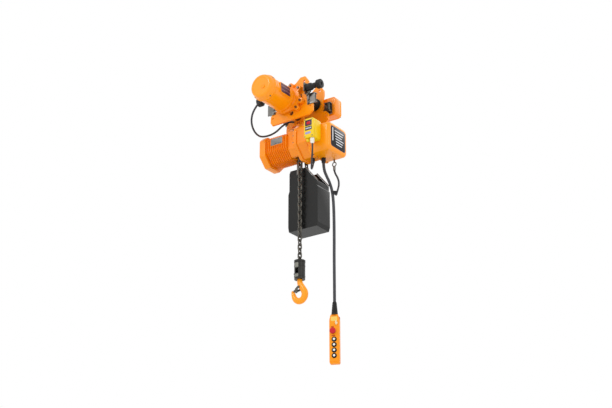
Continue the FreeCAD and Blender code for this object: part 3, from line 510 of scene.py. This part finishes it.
skin("travel_motor_plug", turned(boss, (motor_x + 14, 0, motor_z - 8), "Y", 40), plate_enamel)
for turn in (35, 125, 215, 305):
    x = motor_x + (motor_radius + 1.4) * math.cos(math.radians(turn))
    z = motor_z + (motor_radius + 1.4) * math.sin(math.radians(turn))
    head = [(rim_y - 7, 3), (rim_y - 12.2, 3), (rim_y - 13.6, 2.2), (rim_y - 13.8, 1)]
    skin(f"cap_screw_{turn}", turned(head, (x, 0, z), "Y", 24), zinc_plate)


def slanted(points, centre_mm, turn_deg):
    """Turns a grid about the Y line through a centre, as a piece that leans in the XZ plane."""
    angle = math.radians(turn_deg)
    centre = np.array(centre_mm) / 1000
    x, y, z = np.moveaxis(points - centre, -1, 0)
    leant = (x * math.cos(angle) - z * math.sin(angle), y, x * math.sin(angle) + z * math.cos(angle))
    return np.stack(leant, axis=-1) + centre


inlet = [(10, 11), (-2, 10), (-5, 9), (-6, 9), (-6, 8.2), (-9.4, 7.6), (-10, 6.6), (-10, 3)]
inlet = [(step - motor_radius, radius) for step, radius in inlet]
inlet_foot = (motor_x, -222, motor_z)
skin("travel_cable_inlet", slanted(turned(inlet, inlet_foot, "Z", 40), inlet_foot, -45), rubber)
plate_lean = 4
pad_front = motor_x + motor_radius + 3.4
pad = rounded_outline([(-209, motor_z - 27), (-133, motor_z - 27), (-133, motor_z + 27),
                       (-209, motor_z + 27)], 4)
pad = slanted(carried(pad, soft_ends(motor_x + 48, pad_front, 1.2), "X"), (motor_x, 0, motor_z), plate_lean)
skin("nameplate_pad", pad, plate_enamel)

# --------------------------------------
# Rating plates: etched sheets 0.5 mm thick, riveted on. The travel motor's is a dark plum print,
# the hoist motor's is bare brushed aluminium. Their printing is left as plain ruled lines.
# --------------------------------------


def ruled_plate(name, ground, ink, line_mm, axis, share, roughness, metallic):
    """A printed or etched sheet: rows of thin lines at line_mm pitch over a brushed ground."""
    material, tree, shader, place = start_material(name)
    rows = add_node(tree, "ShaderNodeTexWave", {"Scale": 1000 / line_mm / 20}, {"Vector": place},
                    bands_direction=axis)
    breaks = add_node(tree, "ShaderNodeTexNoise", {"Scale": 180.0, "Detail": 1.0}, {"Vector": place})
    gate = add_node(tree, "ShaderNodeMath", {}, {0: rows.outputs["Fac"], 1: breaks.outputs["Fac"]},
                    operation="MULTIPLY")
    mask = add_node(tree, "ShaderNodeMapRange", {"From Min": share, "From Max": share + 0.06},
                    {"Value": gate.outputs["Value"]})
    tone = add_node(tree, "ShaderNodeMix", {6: linear(ground), 7: linear(ink)},
                    {0: mask.outputs["Result"]}, data_type="RGBA")
    tree.links.new(tone.outputs[2], shader.inputs["Base Color"])
    shader.inputs["Roughness"].default_value = roughness
    shader.inputs["Metallic"].default_value = metallic
    return material


plum_print = ruled_plate("plum printed nameplate", "4A2436", "9C6A74", 3, "Z", 0.42, 0.35, 0.0)
bare_plate = ruled_plate("brushed aluminium nameplate", "8A8886", "6A6866", 4, "Z", 0.5, 0.42, 0.85)
plate = rounded_outline([(-206, motor_z - 24), (-136, motor_z - 24), (-136, motor_z + 24),
                         (-206, motor_z + 24)], 2)
plate = slanted(carried(plate, soft_ends(pad_front - 0.4, pad_front + 0.7, 0.4), "X"),
                (motor_x, 0, motor_z), plate_lean)
skin("travel_nameplate", plate, plum_print)
plate = rounded_outline([(-116, -193), (-50, -193), (-50, -160), (-116, -160)], 2)
skin("hoist_nameplate", carried(plate, soft_ends(-72, -74.2, 0.4), "Y"), bare_plate)

# --------------------------------------
# Travel control box: a deep-drawn steel box on the far plate with a pressed lid and a raised
# panel, held by four countersunk screws in the lid's corners.
# --------------------------------------


def rectangle(u0, u1, v0, v1, radius, steps=6):
    """A rounded rectangle's outline."""
    return rounded_outline([(u0, v0), (u1, v0), (u1, v1), (u0, v1)], radius, steps)


low, high = (corner * 1000 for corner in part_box("travel_control_lid"))
tray = rectangle(low[0], high[0], low[2], high[2], 14)
skin("control_tray", carried(tray, soft_ends(80, 122, 3), "Y"), cast_enamel, replaced=("travel_control_box",))
foot = rectangle(64, 84, -10, 40, 3)
skin("control_tray_foot", carried(foot, soft_ends(69.2, 84, 1), "Y"), cast_enamel)
lid = np.concatenate((soft_ends(low[1], low[1] + 11.8, 3)[:-2], [(low[1] + 11.8, 3), (low[1] + 11.8, 11),
                      (low[1] + 13, 13.4), (high[1] - 1.4, 14.2), (high[1] - 0.3, 15.4), (high[1], 17)]))
lid_outline = rectangle(low[0], high[0], low[2], high[2], 18)
skin("control_lid", carried(lid_outline, lid, "Y"), plate_enamel, replaced=("travel_control_lid",))
for index, (x, z) in enumerate(((56, -32), (140, -32), (56, 48), (140, 48))):
    head = [(low[1] + 9, 3.4), (low[1] + 12.6, 3.4), (low[1] + 13.4, 2.6), (low[1] + 13.4, 1)]
    skin(f"lid_screw_{index + 1}", turned(head, (x, 0, z), "Y", 24), zinc_plate)

# --------------------------------------
# Gear case, its cover and the control cover: aluminium castings and a pressed cover, with wide
# soft edges, sprayed in the same enamel. The belt round the gear case takes the case bolts.
# --------------------------------------


def eight_sided(y0, y1, z0, z1, top, low_cut, radius, steps=6):
    """The castings' outline in Y and Z: a rectangle with its corners cut off, then rounded."""
    return rounded_outline([(y0 + low_cut, z0), (y1 - low_cut, z0), (y1, z0 + low_cut), (y1, z1 - top),
                            (y1 - top, z1), (y0 + top, z1), (y0, z1 - top), (y0, z0 + low_cut)],
                           radius, steps)


low, high = (corner * 1000 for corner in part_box("gear_case"))
case_outline = eight_sided(low[1] + 6, high[1] - 5, low[2] + 5, high[2], 44, 58, 10)
skin("gear_case_shell", carried(case_outline, soft_ends(low[0], high[0], 7), "X"), cast_enamel,
     replaced=("gear_case",))
belt_outline = eight_sided(low[1], high[1], low[2], high[2] - 8, 46, 60, 12)
skin("gear_case_belt", carried(belt_outline, soft_ends(22, 38, 2.6), "X"), cast_enamel)
low, high = (corner * 1000 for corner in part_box("gear_case_cover"))
skin("gear_case_lid", carried(case_outline, soft_ends(low[0], high[0], 1.6), "X"), plate_enamel,
     replaced=("gear_case_cover",))
low, high = (corner * 1000 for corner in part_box("control_cover"))
flange_outline = rectangle(low[1], high[1], low[2], high[2], 27, 8)
skin("control_cover_flange", carried(flange_outline, soft_ends(low[0], low[0] + 7.8, 2.2), "X"), plate_enamel)
cover_outline = rectangle(low[1] + 4, high[1] - 4, low[2] + 4, high[2] - 4, 25, 8)
turn = np.linspace(0, math.pi / 2, 9)
nose = np.stack((high[0] - 15 + 15 * np.sin(turn), 15 - 15 * np.cos(turn)), axis=-1)
skin("control_cover_shell",
     carried(cover_outline, np.concatenate(([(low[0] + 6, 0), (low[0] + 20, 0)], nose)), "X"), plate_enamel,
     replaced=("control_cover",))

# --------------------------------------
# Rating label on the control cover: printed vinyl, near black inside a navy border, with pale
# plain bars in place of its print. It is pressed on flat, inside the cover's rounded edge.
# --------------------------------------


def vinyl(name, colour, second, roughness=0.3):
    """Printed vinyl film: even colour with a faint orange peel from the cover below it."""
    return moulded(name, colour, second, roughness, 3.0, 0.06, 40)


# Each film is flat and even, with a low gloss; only its colour differs.
navy_vinyl = vinyl("navy printed vinyl", "141A3C", "1B2144")
black_vinyl = vinyl("black printed vinyl", "0B0B0E", "15151A")
pale_vinyl = vinyl("pale printed vinyl", "E9E9EC", "D2D3DA")
face_x = high[0]
label_inset = 23
label_y = (low[1] + label_inset, high[1] - label_inset)
label_z = (low[2] + label_inset, high[2] - label_inset)
for name, margin, rise, oil_film_and_highlight in (("rating_label_border", 0, 0.5, navy_vinyl),
                                 ("rating_label", 4, 0.8, black_vinyl)):
    outline = rectangle(label_y[0] + margin, label_y[1] - margin, label_z[0] + margin,
                        label_z[1] - margin, 12 - margin)
    skin(name, carried(outline, [(face_x - 0.6, 0), (face_x + rise, 0), (face_x + rise + 0.1, 0.3)], "X"),
         oil_film_and_highlight)
bars = [(0.10, 0.16, 0.28, 0.92)]
bars += [(0.26 + 0.02 * k, 0.88 - 0.06 * (k % 3), 0.80 - 0.125 * k, 0.845 - 0.125 * k) for k in range(6)]
spread_y = label_y[1] - label_y[0]
spread_z = label_z[1] - label_z[0]
for index, (left, right, bottom, top) in enumerate(bars):
    outline = rectangle(label_y[0] + left * spread_y, label_y[0] + right * spread_y,
                        label_z[0] + bottom * spread_z, label_z[0] + top * spread_z, 1.4, 3)
    skin(f"rating_bar_{index + 1}", carried(outline, [(face_x, 0), (face_x + 1.1, 0)], "X"), pale_vinyl)

# --------------------------------------
# Hoist motor: a ribbed aluminium housing whose fins run right round it, and a fan cover with a
# grille on its end. The housing and cover are cast, sprayed orange like the rest of the body.
# --------------------------------------

low, high = (corner * 1000 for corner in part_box("motor_housing"))
fin_pitch = 10.8
fin_start = low[0] + 6
fin_rise = 8
fin_profile = [(0, fin_rise), (0.25, 1.4), (1.0, 0.2), (1.7, 0), (2.4, 0.2), (3.15, 1.4), (3.4, fin_rise)]
fin_stations = [(low[0], fin_rise + 1), (low[0], fin_rise)]
for index in range(11):
    fin_stations += [(fin_start + index * fin_pitch + along, inset) for along, inset in fin_profile]
fin_stations += [(high[0], fin_rise), (high[0], fin_rise + 1)]
fin_outline = eight_sided(low[1] + 1, high[1], low[2], high[2], 24, 48, 14)
skin("finned_motor_housing", carried(fin_outline, fin_stations, "X"), cast_enamel,
     replaced=("motor_housing",), sharp=50)
pad = rectangle(-118, -48, -195, -158, 3)
skin("hoist_nameplate_pad", carried(pad, soft_ends(-60, -73, 0.8), "Y"), cast_enamel)
low, high = (corner * 1000 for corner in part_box("fan_cover"))
fan_outline = eight_sided(low[1], high[1], low[2], high[2], 22, 46, 12)
fan_stations = np.concatenate((soft_ends(low[0], high[0], 8)[:5], soft_ends(low[0], high[0], 2)[5:]))
skin("fan_cover_shell", carried(fan_outline, fan_stations, "X"), cast_enamel, replaced=("fan_cover",))
# A flat black stands for the dark behind the grille and for the parts that are never lit.
grille_black = moulded("shadowed grille opening", "0C0C0C", "151515", 0.8, 2.0)
fan_y = (low[1] + high[1]) / 2
fan_z = (low[2] + high[2]) / 2
disc = [(low[0] + 4, 50), (low[0] - 0.15, 50), (low[0] - 0.2, 1)]
skin("fan_grille_shadow", turned(disc, (0, fan_y, fan_z), "X", 64), grille_black)
for index, radius in enumerate((49, 41, 33, 25, 17, 9)):
    ring = [(low[0] + 1, radius + 1.7), (low[0] - 1.2, radius + 1.7), (low[0] - 2, radius + 0.9),
            (low[0] - 2, radius - 0.9), (low[0] - 1.2, radius - 1.7), (low[0] + 1, radius - 1.7)]
    skin(f"fan_grille_ring_{index + 1}", turned(ring, (0, fan_y, fan_z), "X", 64), cast_enamel)
for name, half_y, half_z in (("fan_grille_bar", 49, 2), ("fan_grille_post", 2, 49)):
    bar = rectangle(fan_y - half_y, fan_y + half_y, fan_z - half_z, fan_z + half_z, 1, 3)
    skin(name, carried(bar, soft_ends(low[0] + 1, low[0] - 2.4, 0.6), "X"), cast_enamel)
for node in ("brake_and_fan", "contactor_panel"):
    finish_node(node, grille_black)

# --------------------------------------
# Load limiter: a yellow die-cast box on the control cover's side, with a membrane panel on its
# face, four lid screws, a small adjusting knob and the gland that its flex leaves by.
# --------------------------------------

# The box is enamelled die-cast metal, the display window is clear red acrylic, the strips are printed film.
yellow_cast = orange_enamel("yellow enamel on the limiter box", "F2CE04", "EAC200", 0.36, 2.0)
red_window = moulded("red acrylic display window", "D8101C", "B80C16", 0.15, 4.0, 0.03)
lavender_vinyl = vinyl("lavender printed strip", "8F8FC8", "A9A8D6")
low, high = (corner * 1000 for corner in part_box("limiter_box"))
outline = rectangle(low[0], high[0], low[2], high[2], 6)
skin("limiter_case", carried(outline, soft_ends(low[1] + 15, high[1], 2.4), "Y"), yellow_cast,
     replaced=("limiter_box",))
skin("limiter_lid", carried(outline, soft_ends(low[1], low[1] + 14.4, 3), "Y"), yellow_cast)
face_y = low[1]
panels = (("limiter_panel", 121, 158, -178, -149, 0.5, navy_vinyl),
          ("limiter_display", 130, 150, -171, -157, 1.0, red_window),
          ("limiter_lower_panel", 121, 158, -200, -181.5, 0.5, navy_vinyl),
          ("limiter_strip", 122, 152, -219, -208, 0.4, lavender_vinyl))
for name, x0, x1, z0, z1, rise, oil_film_and_highlight in panels:
    skin(name, carried(rectangle(x0, x1, z0, z1, 1.5, 3), soft_ends(face_y + 1, face_y - rise, 0.3), "Y"),
         oil_film_and_highlight)
for index in range(4):
    mark = rectangle(125 + 8 * index, 130 + 8 * index, -194, -187, 1, 3)
    skin(f"limiter_key_{index + 1}", carried(mark, soft_ends(face_y, face_y - 0.9, 0.3), "Y"), pale_vinyl)
for index, (x, z) in enumerate(((low[0] + 6, low[2] + 6), (high[0] - 6, low[2] + 6),
                                (low[0] + 6, high[2] - 6), (high[0] - 6, high[2] - 6))):
    head = [(face_y + 2, 2.8), (face_y - 0.8, 2.8), (face_y - 1.4, 2), (face_y - 1.4, 0.8)]
    skin(f"limiter_screw_{index + 1}", turned(head, (x, 0, z), "Y", 20), zinc_plate)

# --------------------------------------
# Cable glands: moulded nylon, a six-sided body screwed into the casing and a ribbed dome nut
# that grips the cord. The limiter's is white, and the three on the hoist and trolley are black.
# --------------------------------------

# Nylon is waxy: a soft broad highlight and next to no grain.
white_nylon = moulded("white moulded nylon", "F2F1EC", "E4E2DA", 0.38, 1.2, 0.12)
black_nylon = moulded("black moulded nylon", "17171A", "26262A", 0.42, 1.2, 0.15)


def gland(name, foot, radius, axis, way, material):
    """A hexagon body 12 mm long, then a dome nut whose radius steps in and out as grip ribs."""
    corner = np.arange(6) * math.pi / 3
    hexagon = rounded_outline(np.stack((radius * np.cos(corner), radius * np.sin(corner)), axis=-1), 1.2, 3)
    body = carried(hexagon, soft_ends(0, way * 12, 0.8), axis) + np.array(foot) / 1000
    skin(name + "_body", body, material)
    nut_share = 0.78
    nut_radius = radius * nut_share
    profile = [(11, nut_radius - 1.6), (13, nut_radius), (20, nut_radius), (23.5, nut_radius - 1.2),
               (25.4, nut_radius - 3), (26, nut_radius - 3.4)]
    nut = turned([(way * along, wide) for along, wide in profile], (0, 0, 0), axis, 72)
    rib_count = 12
    rib_depth = 0.035
    ripple = 1 + rib_depth * np.sign(np.sin(np.linspace(0, 2 * math.pi, 72, endpoint=False) * rib_count))
    across = [index for index in range(3) if index != "XYZ".index(axis)]
    nut[..., across] *= ripple[None, :, None]
    return skin(name + "_nut", nut + np.array(foot) / 1000, material, sharp=50)


limiter_nut = gland("limiter_gland", (148, -112, -236.2), 11, "Z", -1, white_nylon)
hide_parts("cable_glands")
gland("pendant_gland", (120, 20, -282.2), 12, "Z", -1, black_nylon)
gland("hoist_gland", (80, -6, -282.2), 9, "Z", -1, black_nylon)
gland("trolley_gland", (-46, 58.8, -50), 8, "Y", -1, black_nylon)
knob = [(-236, 5.5), (-238, 5.5), (-238.4, 7), (-248, 7), (-249, 6), (-249, 1)]
skin("limiter_knob", turned(knob, (126, -116, 0), "Z", 36), yellow_cast)

# --------------------------------------
# Chain container: a rotationally moulded black polyethylene bucket, so its corners are wide and
# its skin is faintly pebbled. It hangs under the gear case on a zinc-plated hanger.
# --------------------------------------

# The pebbling is drawn at 5 mm, coarser than real, so that it breaks up the sheen on the flat walls.
bucket_black = moulded("black rotomoulded polyethylene", "0A0A09", "141412", 0.34, 5.0, 0.25, 120)
dressed("chain_container", "moulded_chain_container", bucket_black, 3.0, segments=3)

# --------------------------------------
# Upper run of the load chain: the five links of 7.1 x 21 mm chain that wait inside the casing at
# rest, welded from round bar and black-oxide finished, and that follow the hook down.
# --------------------------------------

chain_bar = 7.1
chain_pitch = 21
chain_width = 23.5
link_play = 0.1


def chain_links(name, top, count, material, body):
    """Each link is a circle carried round a stadium: two half circles joined by straight sides."""
    crown = (chain_width - chain_bar) / 2
    half_side = (chain_pitch + 2 * chain_bar + link_play - chain_width) / 2
    angle = np.linspace(0, 2 * math.pi, 24, endpoint=False) + math.pi / 24
    outward = np.stack((np.cos(angle), np.sin(angle)), axis=-1)
    spine = crown * outward + np.stack((0 * angle, np.sign(outward[:, 1]) * half_side), axis=-1)
    swing = np.linspace(0, 2 * math.pi, 12, endpoint=False)
    across = spine[:, None] + outward[:, None] * (chain_bar / 2 * np.cos(swing))[None, :, None]
    deep = np.broadcast_to(chain_bar / 2 * np.sin(swing)[None], across.shape[:2])
    rows, columns = across.shape[:2]
    down, over = np.meshgrid(np.arange(rows), np.arange(columns), indexing="ij")
    ahead = (down + 1) % rows * columns
    beside = (over + 1) % columns
    quads = np.stack((down * columns + over, down * columns + beside, ahead + beside, ahead + over), axis=-1)
    points, faces = [], []
    for index in range(count):
        height = across[..., 1] + top - index * chain_pitch - chain_width / 2 - half_side
        grid = (across[..., 0], deep, height) if index % 2 == 0 else (deep, -across[..., 0], height)
        points.append(np.stack(grid, axis=-1).reshape(-1, 3) / 1000)
        faces.append(quads.reshape(-1, 4) + index * rows * columns)
    mesh = bpy.data.meshes.new(name)
    mesh.from_pydata(np.concatenate(points).tolist(), [], np.concatenate(faces).tolist())
    mesh.materials.append(material)
    mesh.update()
    face_outwards(mesh)
    mesh.shade_smooth()
    links = bpy.data.objects.new(name, mesh)
    bpy.context.collection.objects.link(links)
    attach(links, body)


hidden_links = 5
chain_links("upper_chain_run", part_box("load_chain")[1][2] * 1000 + hidden_links * chain_pitch, hidden_links,
            black_oxide, "hook_block")

# --------------------------------------
# Hook block and hook: a black powder-coated block in two halves, and a drop-forged hook that is
# thickest at its bowl and tapers to the point, dipped in yellow-orange enamel.
# --------------------------------------

# Powder coat is a satin black that wears to grey-brown. The cast badges are bare and pale.
block_black = moulded("black powder coat", "1C1C1A", "34332E", 0.38, 2.6, 0.3, 30)
dressed("hook_block", "chain_block", block_black, 1.4, "hook_block")
for index, z in enumerate((-796, -846)):
    rim = [(z - 3, 24.6), (z - 2.4, 25.8), (z + 2.4, 25.8), (z + 3, 24.6)]
    skin(f"block_band_{index + 1}", turned(rim, (0, 0, 0), "Z", 64), block_black,
         "hook_block")
pale_badge = moulded("pale grey zinc die-cast badge", "8E8E84", "6E6E66", 0.45, 2.0)
for index, (z0, z1) in enumerate(((-806, -784), (-852, -838))):
    badge = rectangle(-9, 9, z0, z1, 2, 3)
    skin(f"block_badge_{index + 1}", carried(badge, soft_ends(-20, -25.8, 0.5), "Y"), pale_badge,
         "hook_block")


def smooth_run(points, steps):
    """Catmull-Rom: between two points the line leaves and arrives along their neighbours' chord."""
    points = np.array(points, dtype=float)
    padded_run = np.concatenate((2 * points[:1] - points[1:2], points, 2 * points[-1:] - points[-2:-1]))
    share = np.linspace(0, 1, steps, endpoint=False)[None, :, None]
    a, b, c, d = (padded_run[k:len(points) - 1 + k][:, None] for k in range(4))
    run = 0.5 * (2 * b + (c - a) * share + (2 * a - 5 * b + 4 * c - d) * share ** 2
                 + (3 * b - a - 3 * c + d) * share ** 3)
    return np.concatenate((run.reshape(-1, points.shape[1]), points[-1:]))


# Dipped enamel pools smoothly, so its peel is fine and its gloss is high.
hook_enamel = orange_enamel("yellow-orange hook enamel", "FFA304", "FA9802", 0.28, 2.2)
forging = [(0, -846, 10.4, 10.4), (0, -862, 12, 11), (1.4, -876, 13.6, 11), (8, -890, 14.6, 11.4),
           (18, -906, 15.2, 12), (27, -922, 16, 12.4), (28.4, -938, 16.4, 13), (22, -952, 16, 13),
           (11, -960, 15.6, 13), (-3, -961.6, 15, 12.6), (-17, -956, 14, 12), (-27, -945, 12.6, 11),
           (-32.4, -931, 10.8, 10), (-36.4, -919, 8.4, 8.4), (-39.6, -911, 5.4, 5.8),
           (-41.2, -907.4, 2.4, 2.6)]
line = smooth_run(forging, 5)
heading = np.gradient(line[:, :2], axis=0)
heading /= np.linalg.norm(heading, axis=1)[:, None]
swing = np.linspace(0, 2 * math.pi, 36, endpoint=False)
side = np.cos(swing)[None] * line[:, 2:3]
thick = np.sin(swing)[None] * line[:, 3:4]
forged = np.stack((line[:, 0:1] - heading[:, 1:2] * side, thick, line[:, 1:2] + heading[:, 0:1] * side),
                  axis=-1) / 1000
skin("forged_hook", forged, hook_enamel, "hook", replaced=("load_hook",), sharp=60)

# --------------------------------------
# Pendant: an injection-moulded orange case in two halves with a gasket, black collars round the
# push buttons, a red emergency stop, a cream key switch and a ribbed rubber boot for the cable.
# --------------------------------------


pendant_turn = math.radians(24)
pendant_x = 0.156
pendant_y = 0.049


def hung(points):
    """Turns a grid made in the pendant's own frame, facing -Y, and moves it to where it hangs."""
    x, y, z = np.moveaxis(points, -1, 0)
    turned_x = x * math.cos(pendant_turn) - y * math.sin(pendant_turn) + pendant_x
    turned_y = x * math.sin(pendant_turn) + y * math.cos(pendant_turn) + pendant_y
    return np.stack((turned_x, turned_y, z), axis=-1)


# The case is spark-eroded polyamide, matt and even. The buttons and the mushroom are polished.
pendant_orange = moulded("orange moulded polyamide", "FE9E06", "FA9402", 0.4, 1.4, 0.18, 60)
pendant_edge = moulded("dark orange gasket", "C24A0A", "B04408", 0.6, 1.4)
pendant_label = vinyl("pale yellow printed label", "F4CF6A", "EEC458", 0.4)
button_black = moulded("black glossy button collar", "101012", "1C1C20", 0.25, 2.0, 0.08)
stop_red = moulded("red moulded mushroom", "D22030", "BE1826", 0.3, 2.0, 0.08)
key_cream = moulded("cream moulded knob", "F1E4C4", "E6D6B0", 0.35, 2.0, 0.08)
case_outline = rectangle(-23, 23, -17, 17, 7)
case_stations = [(-1270, 7), (-1269.4, 4.4), (-1268, 2.2), (-1265.4, 0.7), (-1262, 0), (-1074, 0),
                 (-1066, 0.7), (-1057, 3), (-1050, 5.6), (-1046, 6.4), (-1044.4, 6.8), (-1044, 7)]
skin("pendant_shell", hung(carried(case_outline, case_stations, "Z")), pendant_orange,
     replaced=("pendant_case",))
seam = rectangle(-23.3, 23.3, -1270.2, -1050, 7)
skin("pendant_gasket", hung(carried(seam, [(4, 0.3), (4.3, 0), (5.4, 0), (5.7, 0.3)], "Y")), pendant_edge)
for name, x0, x1, z0, z1, rise, oil_film_and_highlight in (
        ("pendant_face", -18, 18, -1262, -1050, 1.0, pendant_orange),
        ("pendant_label", -14.5, 14.5, -1077, -1056, 1.5, pendant_label),
        ("pendant_mark_top", -9, 9, -1054.6, -1052.4, 1.4, pendant_edge),
        ("pendant_mark_stop", -14, -1, -1106, -1101, 1.4, pendant_edge),
        ("pendant_mark_start", -12, 5, -1147, -1142, 1.4, pendant_edge)):
    panel = rectangle(x0, x1, z0, z1, min(4, (z1 - z0) / 2.2), 4)
    skin(name, hung(carried(panel, soft_ends(-15, -17 - rise, 0.4), "Y")), oil_film_and_highlight)
lowest_button = -1236
button_pitch = 25
for index in range(4):
    z = lowest_button + button_pitch * index
    collar = [(-15, 11.5), (-19.6, 11.5), (-20.5, 10.8), (-20.5, 9.3), (-19.8, 8.6), (-15, 8.6)]
    skin(f"button_collar_{index + 1}", hung(turned(collar, (0, 0, z), "Y", 40)), button_black)
    skirt = [(-9, 8.3), (-21.2, 8.3), (-22.2, 7.8), (-22.4, 6.7), (-22.4, 2)]
    skin(f"button_skirt_{index + 1}", hung(turned(skirt, (0, 0, z), "Y", 40)), button_black,
         f"push_button_{index + 1}", replaced=(f"push_button_{index + 1}",))
    dome = [(-21.6, 5.2), (-22.8, 5.2), (-23.3, 4.4), (-23.5, 3), (-23.5, 1)]
    skin(f"button_face_{index + 1}", hung(turned(dome, (0, 0, z), "Y", 40)), white_nylon,
         f"push_button_{index + 1}")
stop_z = -1124
collar = [(-15, 11.4), (-19.4, 11.4), (-20, 10.6), (-20, 7), (-15, 7)]
skin("stop_collar", hung(turned(collar, (-5, 0, stop_z), "Y", 40)), button_black)
stem = [(-6, 6), (-25.4, 6), (-25.4, 3)]
skin("stop_stem", hung(turned(stem, (-5, 0, stop_z), "Y", 32)), button_black,
     "emergency_stop")
mushroom = [(-25, 5), (-25, 12.4), (-26, 13.6), (-28, 14), (-30.4, 13.8), (-32.2, 12.4), (-33.4, 9.4),
            (-33.9, 5.4), (-34, 1)]
skin("stop_mushroom", hung(turned(mushroom, (-5, 0, stop_z), "Y", 56)), stop_red,
     "emergency_stop", replaced=("emergency_stop",))
key_z = -1086
base = [(-5, 6), (-19.2, 6), (-20, 5.2), (-20, 2)]
skin("key_base", hung(turned(base, (10, 0, key_z), "Y", 36)), key_cream, "key_switch",
     replaced=("key_switch",))
grip = rectangle(7.5, 12.5, key_z - 9, key_z + 9, 2.4, 5)
skin("key_grip", hung(carried(grip, soft_ends(-18, -29, 1.6), "Y")), key_cream, "key_switch")
ribs = [(-1043.9, 12), (-1043.9, 15)]
for index in range(10):
    z = -1041 + 5.6 * index
    radius = 14.8 - 0.53 * index
    ribs += [(z, radius), (z + 2.6, radius - 0.2), (z + 3.2, radius - 1.3), (z + 4.8, radius - 1.4)]
ribs += [(-984.6, 9.4), (-984.1, 8.6), (-984.1, 6)]
skin("pendant_boot_ribbed", hung(turned(ribs, (0, 0, 0), "Z", 48)), rubber,
     replaced=("pendant_boot",))

# --------------------------------------
# Cable clamps: two black nylon bands that tie the strain rope to the pendant's control cable,
# so that the rope and not the cable carries the pendant's weight.
# --------------------------------------

cable_spot = np.array((151.7, 47.4))
rope_spot = np.array((164.6, 56.8))
reach = np.linalg.norm(rope_spot - cable_spot)
along = (rope_spot - cable_spot) / reach
across = np.array((-along[1], along[0]))
for index, z in enumerate((-458, -449)):
    corners = [cable_spot - along * 7.9 - across * 7.7, rope_spot + along * 6.4 - across * 7.2,
               rope_spot + along * 6.4 + across * 7.2, cable_spot - along * 7.9 + across * 7.7]
    band = carried(rounded_outline(corners, 5.4, 6), soft_ends(z - 3, z + 3, 0.8), "Z")
    skin(f"cable_band_{index + 1}", band, black_nylon)
